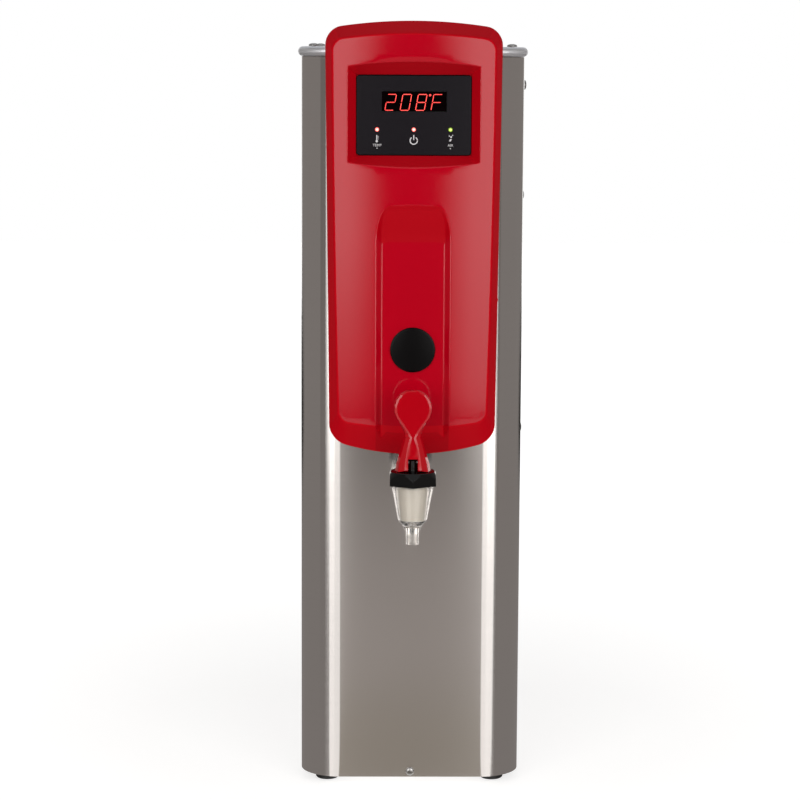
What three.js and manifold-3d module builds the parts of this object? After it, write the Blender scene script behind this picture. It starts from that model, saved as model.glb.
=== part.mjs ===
// A narrow counter-top water boiler: a stainless cabinet with a tank above an electrics bay, a moulded
// front cover with a sunken display, and a spring-closed faucet with a tilting handle.
// Millimetres, +Z up, the front faces -Y. Sizes are given with the front panel at y = 0 and the counter
// at z = 0. The finished group is moved along Y so that the origin is under the middle of the whole object.

import * as THREE from 'three';
import { mergeVertices } from 'three/addons/utils/BufferGeometryUtils.js';
import Module from 'manifold-3d';

// Clearances and allowances that all pieces share
const seatGap = 0.3;
const holeGap = 0.3;
const overrun = 4;
const sheet = 1.2;

// How finely round shapes are cut into flats
const cornerSteps = 8;
const innerCornerSteps = 4;
const fineSides = 32;
const roundSides = 20;
const smallSides = 12;
const tubeSides = 8;
const hexSides = 6;
const bendSteps = 4;
const archSteps = 5;
const pocketArchSteps = 3;
const sideSteps = 2;
const camSteps = 8;
const curlSteps = 8;
const wireSides = 5;
const noseSteps = 3;

// Cabinet
const cabinet = {
  halfWidth: 94, depth: 375, height: 614.7, cornerRadius: 34,
  returnFlange: 14, jointDepth: 40, joggledFlange: 38,
};
const foot = {
  radius: 10, height: 8, chamfer: 1.2, spigotRadius: 3, spigotHeight: 4, sideInset: 22.6, endInset: 27.5,
};
const lid = { height: 8, overhang: 2.6, nose: 4, skin: 1.4, rimWidth: 6, backRadius: 8 };
const lidScrew = {
  headRadius: 4.3, headHeight: 2.4, shankRadius: 2, length: 12.3,
  sideInset: 10.5, frontInset: 38, backInset: 35,
};
const ear = { reach: 18, halfLength: 9 };
const panelScrew = { headRadius: 4.1, headHeight: 2.2, shankRadius: 2, length: 3.9 };
// The service panel's screws, back from the front panel and down from the cabinet's top edge
const panelScrewPlaces = {
  top: { inset: 46.5, drop: 23.2 }, middle: { inset: 62, drop: 117.1 }, bottom: { inset: 62, drop: 318.6 },
};
const baseScrew = { headRadius: 3.6, headHeight: 1.9, shankRadius: 1.6, length: 6, rise: 4.9 };
const rearScrew = {
  headRadius: 3.6, headHeight: 1.9, shankRadius: 1.6, length: 6, sideInset: 7, rise: 52, drop: 42.7,
};
const rearPanel = { forwardFlange: 50, edge: 0.8 };
const vent = { halfLength: 34, height: 4, pitch: 12, count: 5, rise: 142, x: 10 };
const pan = { flange: 22 };

// Front cover: its outlines where it meets the cabinet and where its bevel ends. It stands above the
// cabinet's top edge, and its bottom edge is set above the faucet's shank.
const cover = {
  wall: 3, backEdge: 16, faceEdge: 28, crown: 2,
  rise: 29.5, aboveShank: 36.6, topBevel: 10.3, bottomBevel: 26.4,
  back: { topHalf: 73.2, bottomHalf: 69.2, topArch: 6.6, bottomArch: 12, corner: 12, waist: 0 },
  face: { topHalf: 67.2, bottomHalf: 61.6, topArch: 5, bottomArch: 5.4, corner: 9, waist: 1 },
};
// The recess's walls slope from the control panel's edge out to a rim in the cover's face
const recess = {
  depth: 7, ledge: 1.6, topSlope: 10.9, bottomSlope: 9.5, sideSlope: 7.2, arch: 3.8, corner: 2,
};
// The channel below it: its floor and its rim are set down from the cover's top, and it runs out past
// the cover's bottom
const channel = {
  depth: 6, runOut: 27.6, arch: 0.6,
  rim: { half: 30.5, drop: 151.8, corner: 12 },
  floor: { half: 26.3, drop: 162.2, corner: 8 },
};
const post = {
  radius: 4, pinRadius: 2.5, pinLength: 5, topX: 50, topDrop: 136.2, bottomX: 46, bottomRise: 48.4,
};

// Control panel: the faceplate is set down from the cover's top, and what it carries from its own top
const faceplate = { halfWidth: 47.4, height: 65.9, drop: 44, thickness: 1.3, corner: 2 };
const windowOpening = { halfWidth: 26.75, height: 16.5, drop: 13.4, border: 5.4 };
const wiringHole = { halfWidth: 20, height: 30, drop: 18.2 };
const lens = { thickness: 1, setback: 0.1 };
const keyPitch = 30.2;
const indicator = { radius: 1.7, drop: 44.7, proud: 0.4 };
const key = { radius: 1.75, drop: 57.2, length: 3.8, travel: 0.3, switchHalf: 3, switchDepth: 3.4 };
const board = {
  sideMargin: 1.6, topMargin: 1.3, bottomMargin: 0.8, thickness: 1.6, setback: 3.8,
  bossRadius: 3.4, bossInset: 3.5,
};
const connector = { halfWidth: 11, height: 16, depth: 7, rise: 13.5 };
const plug = {
  aboveShank: 128.4, radius: 18.75, flange: 1.6, dome: 0.9, neckRadius: 15.5, neckLength: 6.5, neckWall: 2,
};

// Faucet: heights are from the shank's axis, which lies below the tank
const faucet = { reach: 60, belowTank: 43.1 };
const bonnet = { circumradius: 21.9, top: 32.7, height: 11.4, chamfer: 2.6, pocketDepth: 8 };
const body = {
  topRadius: 17, wall: 3.2, threadRadius: 15, waistZ: 18, shoulderZ: -8, shoulderRadius: 12,
  neckZ: -14, neckRadius: 7.5, tipTopZ: -20, tipRadius: 5.4, tipBottomZ: -28.5, spoutRadius: 3.8,
  socketRadius: 11, socketReach: 27,
};
const cup = { top: 15.5, topRadius: 12.3, clearance: 0.7, bottomRadius: 3.4 };
const stem = { radius: 3.5, pinHeight: 7.1, bottom: -4 };
const handlePin = { radius: 1.5, halfLength: 12 };
const cam = { lift: 5.6, rangeDegrees: 40 };
const spring = { radius: 7.6, wire: 0.8, curls: 3 };
const handle = { height: 66.6, halfWidth: 15.8, halfDepth: 14.4, slotClearance: 0.5 };
// Sections of the handle from its foot up: the height, half width and half depth as shares of the
// handle's, and the flat front and back facets as shares of the section's half width
const handleShares = [
  { height: 0, width: 0.924, depth: 1, facet: 0.44 },
  { height: 0.09, width: 0.854, depth: 0.889, facet: 0.437 },
  { height: 0.21, width: 0.709, depth: 0.694, facet: 0.42 },
  { height: 0.33, width: 0.544, depth: 0.528, facet: 0.337 },
  { height: 0.415, width: 0.411, depth: 0.43, facet: 0.14 },
  { height: 0.46, width: 0.418, depth: 0.417, facet: 0.39 },
  { height: 0.52, width: 0.506, depth: 0.389, facet: 0.65 },
  { height: 0.585, width: 0.709, depth: 0.361, facet: 0.77 },
  { height: 0.66, width: 0.905, depth: 0.347, facet: 0.81 },
  { height: 0.735, width: 0.994, depth: 0.34, facet: 0.84 },
  { height: 0.81, width: 1, depth: 0.34, facet: 0.85 },
  { height: 0.885, width: 0.924, depth: 0.326, facet: 0.836 },
  { height: 0.945, width: 0.734, depth: 0.299, facet: 0.79 },
  { height: 0.985, width: 0.481, depth: 0.25, facet: 0.68 },
  { height: 1, width: 0.228, depth: 0.167, facet: 0.56 },
];
// Between the facet's edge and the widest line, each section has one corner: how far it lies from the
// facet's edge to the side, how far it reaches in depth, and how deep the side's own narrow facet is
const cornerShares = { side: 0.72, depth: 0.66, sideFacet: 0.12 };
const shank = {
  radius: 8, boreRadius: 5.4, collarRadius: 14, collarLength: 4, tailRadius: 6.7, tailLength: 14,
  threadLength: 17,
};
const washer = { radius: 15, thickness: 1.5 };
const nut = { circumradius: 15.5, thickness: 6 };

// Tank and what is fitted to it: places are back from the tank's front or from the cabinet's walls
const tank = {
  sideSpace: 14, front: 20, rearSpace: 30, headroom: 26.6, height: 300, wall: 1.5, corner: 14, rim: 8,
};
const stand = { sideSpace: 10, front: 45, rearSpace: 40, metal: 1.5, footFlange: 14 };
const gasket = { thickness: 1.5, width: 7 };
const tankCover = { thickness: 2 };
const insulation = { thickness: 9.6 };
const spigot = { radius: 6.7, bore: 5, length: 12 };
const hose = { radius: 9.4, bore: 7, bend: 21, overlap: 10 };
const outlet = { inset: 56 };
const heater = {
  inset: 180, flangeRadius: 27, flangeThickness: 3.5, holeRadius: 20, rodRadius: 4, spread: 11, reach: 118,
  offset: 9, terminalRadius: 2.2, terminalLength: 14,
};
const probe = { x: 32, inset: 38, rodRadius: 3, length: 118, headRadius: 8, headHeight: 9 };
const level = { x: -32, inset: 38, rodRadius: 1.8, length: 46, headRadius: 6.5, headHeight: 12 };
const limiter = {
  x: 0, inset: 38, radius: 12, height: 9,
  tabHeight: 7, tabHalfWidth: 3.2, tabHalfThickness: 0.4, tabSpread: 6,
};

// Water inlet, along the rear: its axis is in from the left wall and up from the cabinet's bottom
const inlet = {
  sideInset: 49, rise: 64, nutCircumradius: 12, nutLength: 8, tailRadius: 8, boreRadius: 4.5, length: 22,
  panelHoleRadius: 8.3,
};
const valve = {
  rearSpace: 9, length: 60, halfWidth: 14, height: 28, coilRadius: 17, coilHeight: 34, outletInset: 12,
};
const fill = { radius: 9, bore: 7, overlap: 9 };

// Electrics
const gland = {
  sideInset: 48, rise: 52, radius: 11, collarRadius: 14.5, collarLength: 5, noseRadius: 9, noseLength: 16,
  boreRadius: 4.6, innerLength: 10,
};
const terminals = {
  sideInset: 60, rearSpace: 57, length: 56, halfWidth: 13, height: 22, ways: 3, slot: 8, slotDepth: 7,
};
const relay = { front: 110, length: 60, rise: 54, height: 46, depth: 24, plate: 4, terminal: 3, rim: 6 };
const pump = {
  sideInset: 58, y: 118, halfWidth: 17, halfLength: 30, height: 30, motorRadius: 13, motorLength: 34,
  outletRadius: 3.2,
};
const airTube = {
  radius: 3.2, bore: 1.8, sideInset: 18, rearSpace: 11.5, bend: 9, overCover: 6, entryInset: 17,
};

// Heights and depths of the cabinet and its tank that follow from the sizes above
const cabinetBottom = foot.height;
const cabinetTop = cabinetBottom + cabinet.height;
const lidBottom = cabinetTop + seatGap;
const lidTop = lidBottom + lid.height;
const lidScrewBack = cabinet.depth - lidScrew.backInset;
const panBottom = foot.height + seatGap;
const panTop = panBottom + sheet;
const shellInner = cabinet.halfWidth - sheet;
const joggle = sheet + seatGap;
const flangeOuter = cabinet.halfWidth - joggle;
const returnBack = cabinet.depth - joggle;
const tankHalfWidth = cabinet.halfWidth - tank.sideSpace;
const tankBack = cabinet.depth - tank.rearSpace;
const tankTop = cabinetTop - tank.headroom;
const tankBottom = tankTop - tank.height;
const standHalfWidth = cabinet.halfWidth - stand.sideSpace;
const standBack = cabinet.depth - stand.rearSpace;
const standBottom = panTop + seatGap;
const standTop = tankBottom - seatGap;
const gasketBottom = tankTop + seatGap;
const coverPlateBottom = gasketBottom + gasket.thickness + seatGap;
const coverPlateTop = coverPlateBottom + tankCover.thickness;
const outletY = tank.front + outlet.inset;
const heaterY = tank.front + heater.inset;

// Places of the cover, of its panel and of the faucet
const shankZ = tankBottom - faucet.belowTank;
const coverTop = cabinetTop + cover.rise;
const coverBottom = shankZ + cover.aboveShank;
const coverBack = { ...cover.back, top: coverTop, bottom: coverBottom };
const coverFace = { ...cover.face, top: coverTop - cover.topBevel, bottom: coverBottom + cover.bottomBevel };
const faceplateTop = coverTop - faceplate.drop;
const faceplateBottom = faceplateTop - faceplate.height;
const windowTop = faceplateTop - windowOpening.drop;
const windowBottom = windowTop - windowOpening.height;
const indicatorZ = faceplateTop - indicator.drop;
const keyZ = faceplateTop - key.drop;
const boardHalfWidth = faceplate.halfWidth + board.sideMargin;
const boardBottom = faceplateBottom - board.bottomMargin;
const boardTop = faceplateTop + board.topMargin;
const plugZ = shankZ + plug.aboveShank;
const recessFloor = -(cover.faceEdge + cover.crown / 2 - recess.depth);
const ledgeFace = recessFloor + recess.ledge;
const ledgeBack = ledgeFace + cover.wall;
const faceplateBack = recessFloor + faceplate.thickness;
const channelFloor = -(cover.faceEdge + cover.crown - channel.depth);
const boardFront = ledgeBack + board.setback;
const boardBack = boardFront + board.thickness;
const faucetY = -faucet.reach;
const bonnetBottom = bonnet.top - bonnet.height;
const bodyTop = bonnetBottom + bonnet.pocketDepth - seatGap;
const pinZ = bonnet.top + stem.pinHeight;
const handleBottom = bonnet.top + seatGap;

// Places at the rear and in the electrics bay
const inletX = inlet.sideInset - cabinet.halfWidth;
const inletZ = cabinetBottom + inlet.rise;
const valveBack = cabinet.depth - valve.rearSpace;
const valveFront = valveBack - valve.length;
const valveOutletY = valveFront + valve.outletInset;
const glandX = cabinet.halfWidth - gland.sideInset;
const glandZ = cabinetBottom + gland.rise;
const terminalsX = cabinet.halfWidth - terminals.sideInset;
const pumpX = pump.sideInset - cabinet.halfWidth;
const riserX = tankHalfWidth - airTube.sideInset;
const riserY = cabinet.depth - airTube.rearSpace;
const entryY = tankBack - airTube.entryInset;

const colours = {
  steel: { color: 0x8a8681, roughness: 0.35, metalness: 1 },
  lidSteel: { color: 0xb0b0b0, roughness: 0.3, metalness: 1 },
  screwSteel: { color: 0x9a9a9a, roughness: 0.3, metalness: 1 },
  rubber: { color: 0x141414, roughness: 0.8, metalness: 0 },
  coverRed: { color: 0xb4001c, roughness: 0.35, metalness: 0 },
  handleRed: { color: 0xc00012, roughness: 0.15, metalness: 0 },
  overlay: { color: 0x201d22, roughness: 0.5, metalness: 0 },
  lensBlack: { color: 0x0a0303, roughness: 0.1, metalness: 0 },
  displayRed: { color: 0x400808, roughness: 0.5, metalness: 0 },
  indicatorRed: { color: 0xff5040, roughness: 0.3, metalness: 0 },
  indicatorGreen: { color: 0xb0d820, roughness: 0.3, metalness: 0 },
  plasticBlack: { color: 0x121010, roughness: 0.3, metalness: 0 },
  boardGreen: { color: 0x1d5a34, roughness: 0.5, metalness: 0 },
  clearPlastic: { color: 0xd8d4cc, roughness: 0.25, metalness: 0 },
  silicone: { color: 0xe4e0d6, roughness: 0.55, metalness: 0 },
  foam: { color: 0xc9c3a8, roughness: 0.95, metalness: 0 },
  zinc: { color: 0xa8a9ad, roughness: 0.4, metalness: 1 },
  brass: { color: 0xb8954a, roughness: 0.35, metalness: 1 },
};

const wasm = await Module();
wasm.setup();

// A closed geometry as a solid that can be joined and cut
function toSolid(geometry) {
  const plain = new THREE.BufferGeometry();
  plain.setAttribute('position', geometry.getAttribute('position'));
  if (geometry.index) plain.setIndex(geometry.index);
  const merged = mergeVertices(plain);
  const corners = merged.index.array;
  const kept = [];
  for (let i = 0; i < corners.length; i += 3) {
    const [a, b, c] = [corners[i], corners[i + 1], corners[i + 2]];
    if (a !== b && b !== c && c !== a) kept.push(a, b, c);
  }
  const mesh = new wasm.Mesh({
    numProp: 3,
    vertProperties: new Float32Array(merged.getAttribute('position').array),
    triVerts: new Uint32Array(kept),
  });
  return new wasm.Manifold(mesh);
}

function fromSolid(solid) {
  const mesh = solid.getMesh();
  const geometry = new THREE.BufferGeometry();
  geometry.setAttribute('position', new THREE.BufferAttribute(new Float32Array(mesh.vertProperties), 3));
  geometry.setIndex(Array.from(mesh.triVerts));
  return geometry;
}

function cut(geometry, ...tools) {
  return fromSolid(tools.reduce((rest, tool) => rest.subtract(toSolid(tool)), toSolid(geometry)));
}

function join(geometry, ...more) {
  return fromSolid(more.reduce((sum, extra) => sum.add(toSolid(extra)), toSolid(geometry)));
}

function common(first, second) {
  return fromSolid(toSolid(first).intersect(toSolid(second)));
}

function block([x0, y0, z0], [x1, y1, z1]) {
  const box = new THREE.BoxGeometry(x1 - x0, y1 - y0, z1 - z0);
  return box.translate((x0 + x1) / 2, (y0 + y1) / 2, (z0 + z1) / 2);
}

// A round or many-sided bar from one height to another
function barZ(radius, x, y, z0, z1, sides = roundSides) {
  const bar = new THREE.CylinderGeometry(radius, radius, z1 - z0, sides);
  return bar.rotateX(Math.PI / 2).translate(x, y, (z0 + z1) / 2);
}

function barY(radius, x, z, y0, y1, sides = roundSides) {
  const bar = new THREE.CylinderGeometry(radius, radius, y1 - y0, sides);
  return bar.translate(x, (y0 + y1) / 2, z);
}

function barX(radius, y, z, x0, x1, sides = roundSides) {
  const bar = new THREE.CylinderGeometry(radius, radius, x1 - x0, sides);
  return bar.rotateZ(Math.PI / 2).translate((x0 + x1) / 2, y, z);
}

// A turned solid on the Z axis, from a list of [radius, z] that runs upwards outside the solid
function turned(profile, sides = roundSides) {
  const points = profile.map(([radius, z]) => new THREE.Vector2(radius, z));
  return new THREE.LatheGeometry(points, sides).rotateX(Math.PI / 2);
}

// A shape in the XY plane raised from one height to another
function raised(shape, z0, z1, curveSegments = cornerSteps) {
  const slab = new THREE.ExtrudeGeometry(shape, { depth: z1 - z0, bevelEnabled: false, curveSegments });
  return slab.translate(0, 0, z0);
}

// A four-sided outline with its own corner radius at the front and at the back
function outline({ left, right, front, back, frontRadius, backRadius }, inset = 0) {
  const [x0, x1, y0, y1] = [left + inset, right - inset, front + inset, back - inset];
  const near = Math.max(frontRadius - inset, 0);
  const far = Math.max(backRadius - inset, 0);
  const shape = new THREE.Shape();
  shape.moveTo(x0, y0 + near);
  if (near > 0) shape.absarc(x0 + near, y0 + near, near, Math.PI, 1.5 * Math.PI);
  shape.lineTo(x1 - near, y0);
  if (near > 0) shape.absarc(x1 - near, y0 + near, near, -0.5 * Math.PI, 0);
  shape.lineTo(x1, y1 - far);
  if (far > 0) shape.absarc(x1 - far, y1 - far, far, 0, 0.5 * Math.PI);
  shape.lineTo(x0 + far, y1);
  if (far > 0) shape.absarc(x0 + far, y1 - far, far, 0.5 * Math.PI, Math.PI);
  shape.closePath();
  return shape;
}

function arcPoints(x, y, radius, from, to, steps) {
  return Array.from({ length: steps + 1 }, (_, i) => {
    const angle = from + (to - from) * i / steps;
    return new THREE.Vector2(x + radius * Math.cos(angle), y + radius * Math.sin(angle));
  });
}

// The section of a bent sheet: the path of its outer face, and the same path moved in to its left
function sheetShape(path, thickness) {
  const leftOf = (from, to) => new THREE.Vector2(from.y - to.y, to.x - from.x).normalize();
  const inner = path.map((point, i) => {
    const before = i > 0 ? leftOf(path[i - 1], point) : leftOf(point, path[i + 1]);
    const after = i < path.length - 1 ? leftOf(point, path[i + 1]) : before;
    const normal = before.clone().add(after).normalize();
    return point.clone().addScaledVector(normal, thickness / normal.dot(before));
  });
  return new THREE.Shape([...path, ...inner.reverse()]);
}

// A route whose rings stand at its own points, close together in bends and far apart on straights
class Route extends THREE.Curve {
  constructor(stations) {
    super();
    this.stations = stations;
  }

  getPoint(t) {
    const place = t * (this.stations.length - 1);
    const i = Math.min(Math.floor(place), this.stations.length - 2);
    return this.stations[i].clone().lerp(this.stations[i + 1], place - i);
  }

  getUtoTmapping(u) {
    return u;
  }
}

// A route through corner points, each rounded to a bend of the same size
function roundedRoute(corners, bend) {
  const stations = [corners[0]];
  for (let i = 1; i < corners.length - 1; i++) {
    const start = corners[i].clone().sub(corners[i - 1]).setLength(bend).negate().add(corners[i]);
    const end = corners[i + 1].clone().sub(corners[i]).setLength(bend).add(corners[i]);
    stations.push(...new THREE.QuadraticBezierCurve3(start, corners[i], end).getPoints(bendSteps));
  }
  return new Route([...stations, corners.at(-1)]);
}

function circlePoints(radius, sides) {
  return arcPoints(0, 0, radius, 0, 2 * Math.PI * (1 - 1 / sides), sides - 1);
}

function pipe(route, radius, bore, sides) {
  const section = new THREE.Shape(circlePoints(radius, sides));
  section.holes.push(new THREE.Path(circlePoints(bore, sides)));
  return new THREE.ExtrudeGeometry(section, { steps: route.stations.length - 1, extrudePath: route });
}

function rod(route, radius, sides) {
  const section = new THREE.Shape(circlePoints(radius, sides));
  return new THREE.ExtrudeGeometry(section, { steps: route.stations.length - 1, extrudePath: route });
}

// A screw on the Z axis whose head seats at z = 0
function screw({ headRadius, headHeight, shankRadius, length }) {
  const edgeHeight = headHeight / 3;
  const shoulderRadius = headRadius * Math.SQRT1_2;
  const shoulderHeight = edgeHeight + (headHeight - edgeHeight) * Math.SQRT1_2;
  return turned([
    [0, -length], [shankRadius, -length], [shankRadius, 0], [headRadius, 0], [headRadius, edgeHeight],
    [shoulderRadius, shoulderHeight], [shoulderRadius / 2, headHeight], [0, headHeight],
  ], smallSides);
}

// The cover's outlines: arched top and bottom, rounded corners, and sides that draw in downwards.
// Each outline has the same points in the same order, anticlockwise as seen from the front.
function coverRing(o, depthAt, arch = archSteps) {
  const halfAt = (z) => {
    const share = (o.top - z) / (o.top - o.bottom);
    return o.topHalf + (o.bottomHalf - o.topHalf) * share + 4 * o.waist * share * (1 - share);
  };
  const bottomX = o.bottomHalf - o.corner;
  const topX = o.topHalf - o.corner;
  const bottomAt = (x) => o.bottom + o.bottomArch * (x / o.bottomHalf) ** 2;
  const topAt = (x) => o.top - o.topArch * (x / o.topHalf) ** 2;
  const lowZ = bottomAt(o.bottomHalf) + o.corner;
  const highZ = topAt(o.topHalf) - o.corner;
  const point = (x, z) => new THREE.Vector2(x, z);
  const across = Array.from({ length: 2 * arch + 1 }, (_, i) => i / arch - 1);
  const bend = (...corners) => new THREE.QuadraticBezierCurve(...corners).getPoints(bendSteps).slice(1, -1);
  const heights = Array.from({ length: sideSteps + 1 }, (_, i) => lowZ + (highZ - lowZ) * i / sideSteps);
  const low = point(bottomX, bottomAt(bottomX));
  const lowKnee = point(halfAt(lowZ), bottomAt(o.bottomHalf));
  const high = point(topX, topAt(topX));
  const highKnee = point(halfAt(highZ), topAt(o.topHalf));
  const rightSide = [
    ...bend(low, lowKnee, point(halfAt(lowZ), lowZ)),
    ...heights.map((z) => point(halfAt(z), z)),
    ...bend(point(halfAt(highZ), highZ), highKnee, high),
  ];
  const leftSide = rightSide.map(({ x, y }) => point(-x, y)).reverse();
  return [
    ...across.map((x) => point(x * bottomX, bottomAt(x * bottomX))), ...rightSide,
    ...across.map((x) => point(-x * topX, topAt(x * topX))), ...leftSide,
  ].map(({ x, y }) => new THREE.Vector3(x, depthAt(x), y));
}

// The same outline with its edge moved out by a distance
function grown(o, by) {
  return {
    ...o, top: o.top + by, bottom: o.bottom - by, topHalf: o.topHalf + by, bottomHalf: o.bottomHalf + by,
    corner: o.corner + by,
  };
}

// An outline between two others, or past them
function between(a, b, share) {
  return Object.fromEntries(Object.keys(a).map((name) => [name, a[name] + (b[name] - a[name]) * share]));
}

// A closed solid through a list of outlines from the back to the front. Each end is closed with strips
// between the two arches and a fan at each side, so that an arched end face keeps its form.
function lofted(rings, arch = archSteps) {
  const count = rings[0].length;
  const indices = [];
  for (let r = 0; r < rings.length - 1; r++) {
    for (let i = 0; i < count; i++) {
      const [a, b] = [r * count + i, r * count + (i + 1) % count];
      indices.push(a, b, b + count, a, b + count, a + count);
    }
  }
  const lastLow = 2 * arch;
  const firstHigh = count / 2;
  const cap = [];
  for (let i = 0; i < lastLow; i++) {
    const high = firstHigh + lastLow - i;
    cap.push([i, i + 1, high - 1], [i, high - 1, high]);
  }
  for (let i = lastLow + 1; i < firstHigh; i++) cap.push([lastLow, i, i + 1]);
  for (let i = firstHigh + lastLow; i < count - 1; i++) cap.push([0, i, i + 1]);
  const last = (rings.length - 1) * count;
  cap.forEach(([a, b, c]) => {
    indices.push(last + a, last + b, last + c);
    indices.push(a, c, b);
  });
  const geometry = new THREE.BufferGeometry();
  const positions = rings.flat().flatMap((p) => p.toArray());
  geometry.setAttribute('position', new THREE.Float32BufferAttribute(positions, 3));
  geometry.setIndex(indices);
  return geometry;
}

// Steel body

function cabinetOutline(inset) {
  const { halfWidth, cornerRadius } = cabinet;
  const walls = { left: -halfWidth, right: halfWidth, front: 0, back: cabinet.depth };
  return outline({ ...walls, frontRadius: cornerRadius, backRadius: 0 }, inset);
}

function lidEar(side, y) {
  const outer = side > 0 ? flangeOuter - sheet / 2 : cabinet.halfWidth - sheet / 2;
  const [x0, x1] = [side * (shellInner - ear.reach), side * outer].sort((a, b) => a - b);
  return block([x0, y - ear.halfLength, cabinetTop - sheet], [x1, y + ear.halfLength, cabinetTop]);
}

const lidScrewX = cabinet.halfWidth - lidScrew.sideInset;
const rearScrewX = rearScrew.sideInset - cabinet.halfWidth;
const rearScrewHeights = { bottom: cabinetBottom + rearScrew.rise, top: cabinetTop - rearScrew.drop };
const baseScrewZ = cabinetBottom + baseScrew.rise;
const postPlaces = [-1, 1].flatMap((side) => [
  { x: side * post.topX, z: coverTop - post.topDrop },
  { x: side * post.bottomX, z: coverBottom + post.bottomRise },
]);

function lidScrewHole(side, y) {
  const radius = lidScrew.shankRadius + holeGap;
  return barZ(radius, side * lidScrewX, y, cabinetTop - overrun, lidTop + overrun, smallSides);
}

function panelScrewHole({ inset, drop }) {
  const radius = panelScrew.shankRadius + holeGap;
  const [inner, outer] = [flangeOuter - overrun, cabinet.halfWidth + overrun];
  return barX(radius, inset, cabinetTop - drop, inner, outer, smallSides);
}

function rearScrewHole(z) {
  const radius = rearScrew.shankRadius + holeGap;
  return barY(radius, rearScrewX, z, returnBack - overrun, cabinet.depth + overrun, smallSides);
}

function baseScrewHole() {
  return barY(baseScrew.shankRadius + holeGap, 0, baseScrewZ, -overrun, overrun, smallSides);
}

function bodyShell() {
  const { halfWidth, cornerRadius: r, jointDepth } = cabinet;
  const wiringTop = faceplateTop - wiringHole.drop;
  const wiringBottom = wiringTop - wiringHole.height;
  const path = [
    new THREE.Vector2(cabinet.returnFlange - halfWidth, returnBack),
    new THREE.Vector2(-halfWidth, returnBack),
    ...arcPoints(r - halfWidth, r, r, Math.PI, 1.5 * Math.PI, cornerSteps),
    ...arcPoints(halfWidth - r, r, r, 1.5 * Math.PI, 2 * Math.PI, cornerSteps),
    new THREE.Vector2(halfWidth, jointDepth),
    new THREE.Vector2(flangeOuter, jointDepth + joggle),
    new THREE.Vector2(flangeOuter, jointDepth + cabinet.joggledFlange),
  ];
  const walls = raised(sheetShape(path, sheet), cabinetBottom, cabinetTop);
  const ears = [[-1, lidScrew.frontInset], [-1, lidScrewBack], [1, lidScrew.frontInset]];
  return cut(
    join(walls, ...ears.map(([side, y]) => lidEar(side, y))),
    ...ears.map(([side, y]) => lidScrewHole(side, y)),
    ...Object.values(panelScrewPlaces).map(panelScrewHole),
    ...Object.values(rearScrewHeights).map(rearScrewHole), baseScrewHole(),
    ...postPlaces.map(({ x, z }) => barY(post.pinRadius + holeGap, x, z, -overrun, overrun, smallSides)),
    barY(shank.radius + holeGap, 0, shankZ, -overrun, overrun),
    block([-wiringHole.halfWidth, -overrun, wiringBottom], [wiringHole.halfWidth, overrun, wiringTop]),
  );
}

function servicePanel() {
  const front = cabinet.jointDepth + joggle + holeGap;
  const plate = block([shellInner, front, cabinetBottom], [cabinet.halfWidth, cabinet.depth, cabinetTop]);
  return cut(plate, ...Object.values(panelScrewPlaces).map(panelScrewHole));
}

function rearPanelSheet() {
  const path = [
    new THREE.Vector2(flangeOuter, cabinet.depth - rearPanel.forwardFlange),
    new THREE.Vector2(flangeOuter, cabinet.depth),
    new THREE.Vector2(rearPanel.edge - cabinet.halfWidth, cabinet.depth),
  ];
  const walls = raised(sheetShape(path, sheet), cabinetBottom, cabinetTop);
  const louvres = Array.from({ length: vent.count }, (_, i) => {
    const z = cabinetBottom + vent.rise + vent.pitch * i;
    return block(
      [vent.x - vent.halfLength, returnBack - overrun, z],
      [vent.x + vent.halfLength, cabinet.depth + overrun, z + vent.height],
    );
  });
  return cut(
    join(walls, lidEar(1, lidScrewBack)),
    lidScrewHole(1, lidScrewBack), ...Object.values(rearScrewHeights).map(rearScrewHole), ...louvres,
    barY(inlet.panelHoleRadius, inletX, inletZ, returnBack - overrun, cabinet.depth + overrun),
    barY(gland.radius + holeGap, glandX, glandZ, returnBack - overrun, cabinet.depth + overrun),
  );
}

const footX = cabinet.halfWidth - foot.sideInset;
const footPlaces = [
  { name: 'foot_front_left', x: -footX, y: foot.endInset },
  { name: 'foot_front_right', x: footX, y: foot.endInset },
  { name: 'foot_rear_left', x: -footX, y: cabinet.depth - foot.endInset },
  { name: 'foot_rear_right', x: footX, y: cabinet.depth - foot.endInset },
];

function basePan() {
  const gap = sheet + seatGap;
  const o = {
    left: gap - cabinet.halfWidth, right: flangeOuter - gap, front: gap, back: returnBack - gap,
    frontRadius: cabinet.cornerRadius - gap, backRadius: 0,
  };
  const holeRadius = foot.spigotRadius + holeGap;
  const [low, high] = [panBottom - overrun, panTop + overrun];
  return cut(
    raised(outline(o), panBottom, panBottom + pan.flange),
    raised(outline(o, sheet), panTop, panBottom + pan.flange + overrun),
    ...footPlaces.map(({ x, y }) => barZ(holeRadius, x, y, low, high, smallSides)),
    baseScrewHole(),
  );
}

function footBody() {
  return turned([
    [0, 0], [foot.radius - foot.chamfer, 0], [foot.radius, foot.chamfer], [foot.radius, foot.height],
    [foot.spigotRadius, foot.height], [foot.spigotRadius, foot.height + foot.spigotHeight],
    [0, foot.height + foot.spigotHeight],
  ]);
}

const lidOutline = {
  left: -cabinet.halfWidth - lid.overhang, right: cabinet.halfWidth + lid.overhang,
  front: -lid.overhang, back: cabinet.depth + lid.overhang,
  frontRadius: cabinet.cornerRadius + lid.overhang, backRadius: lid.backRadius,
};

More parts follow.
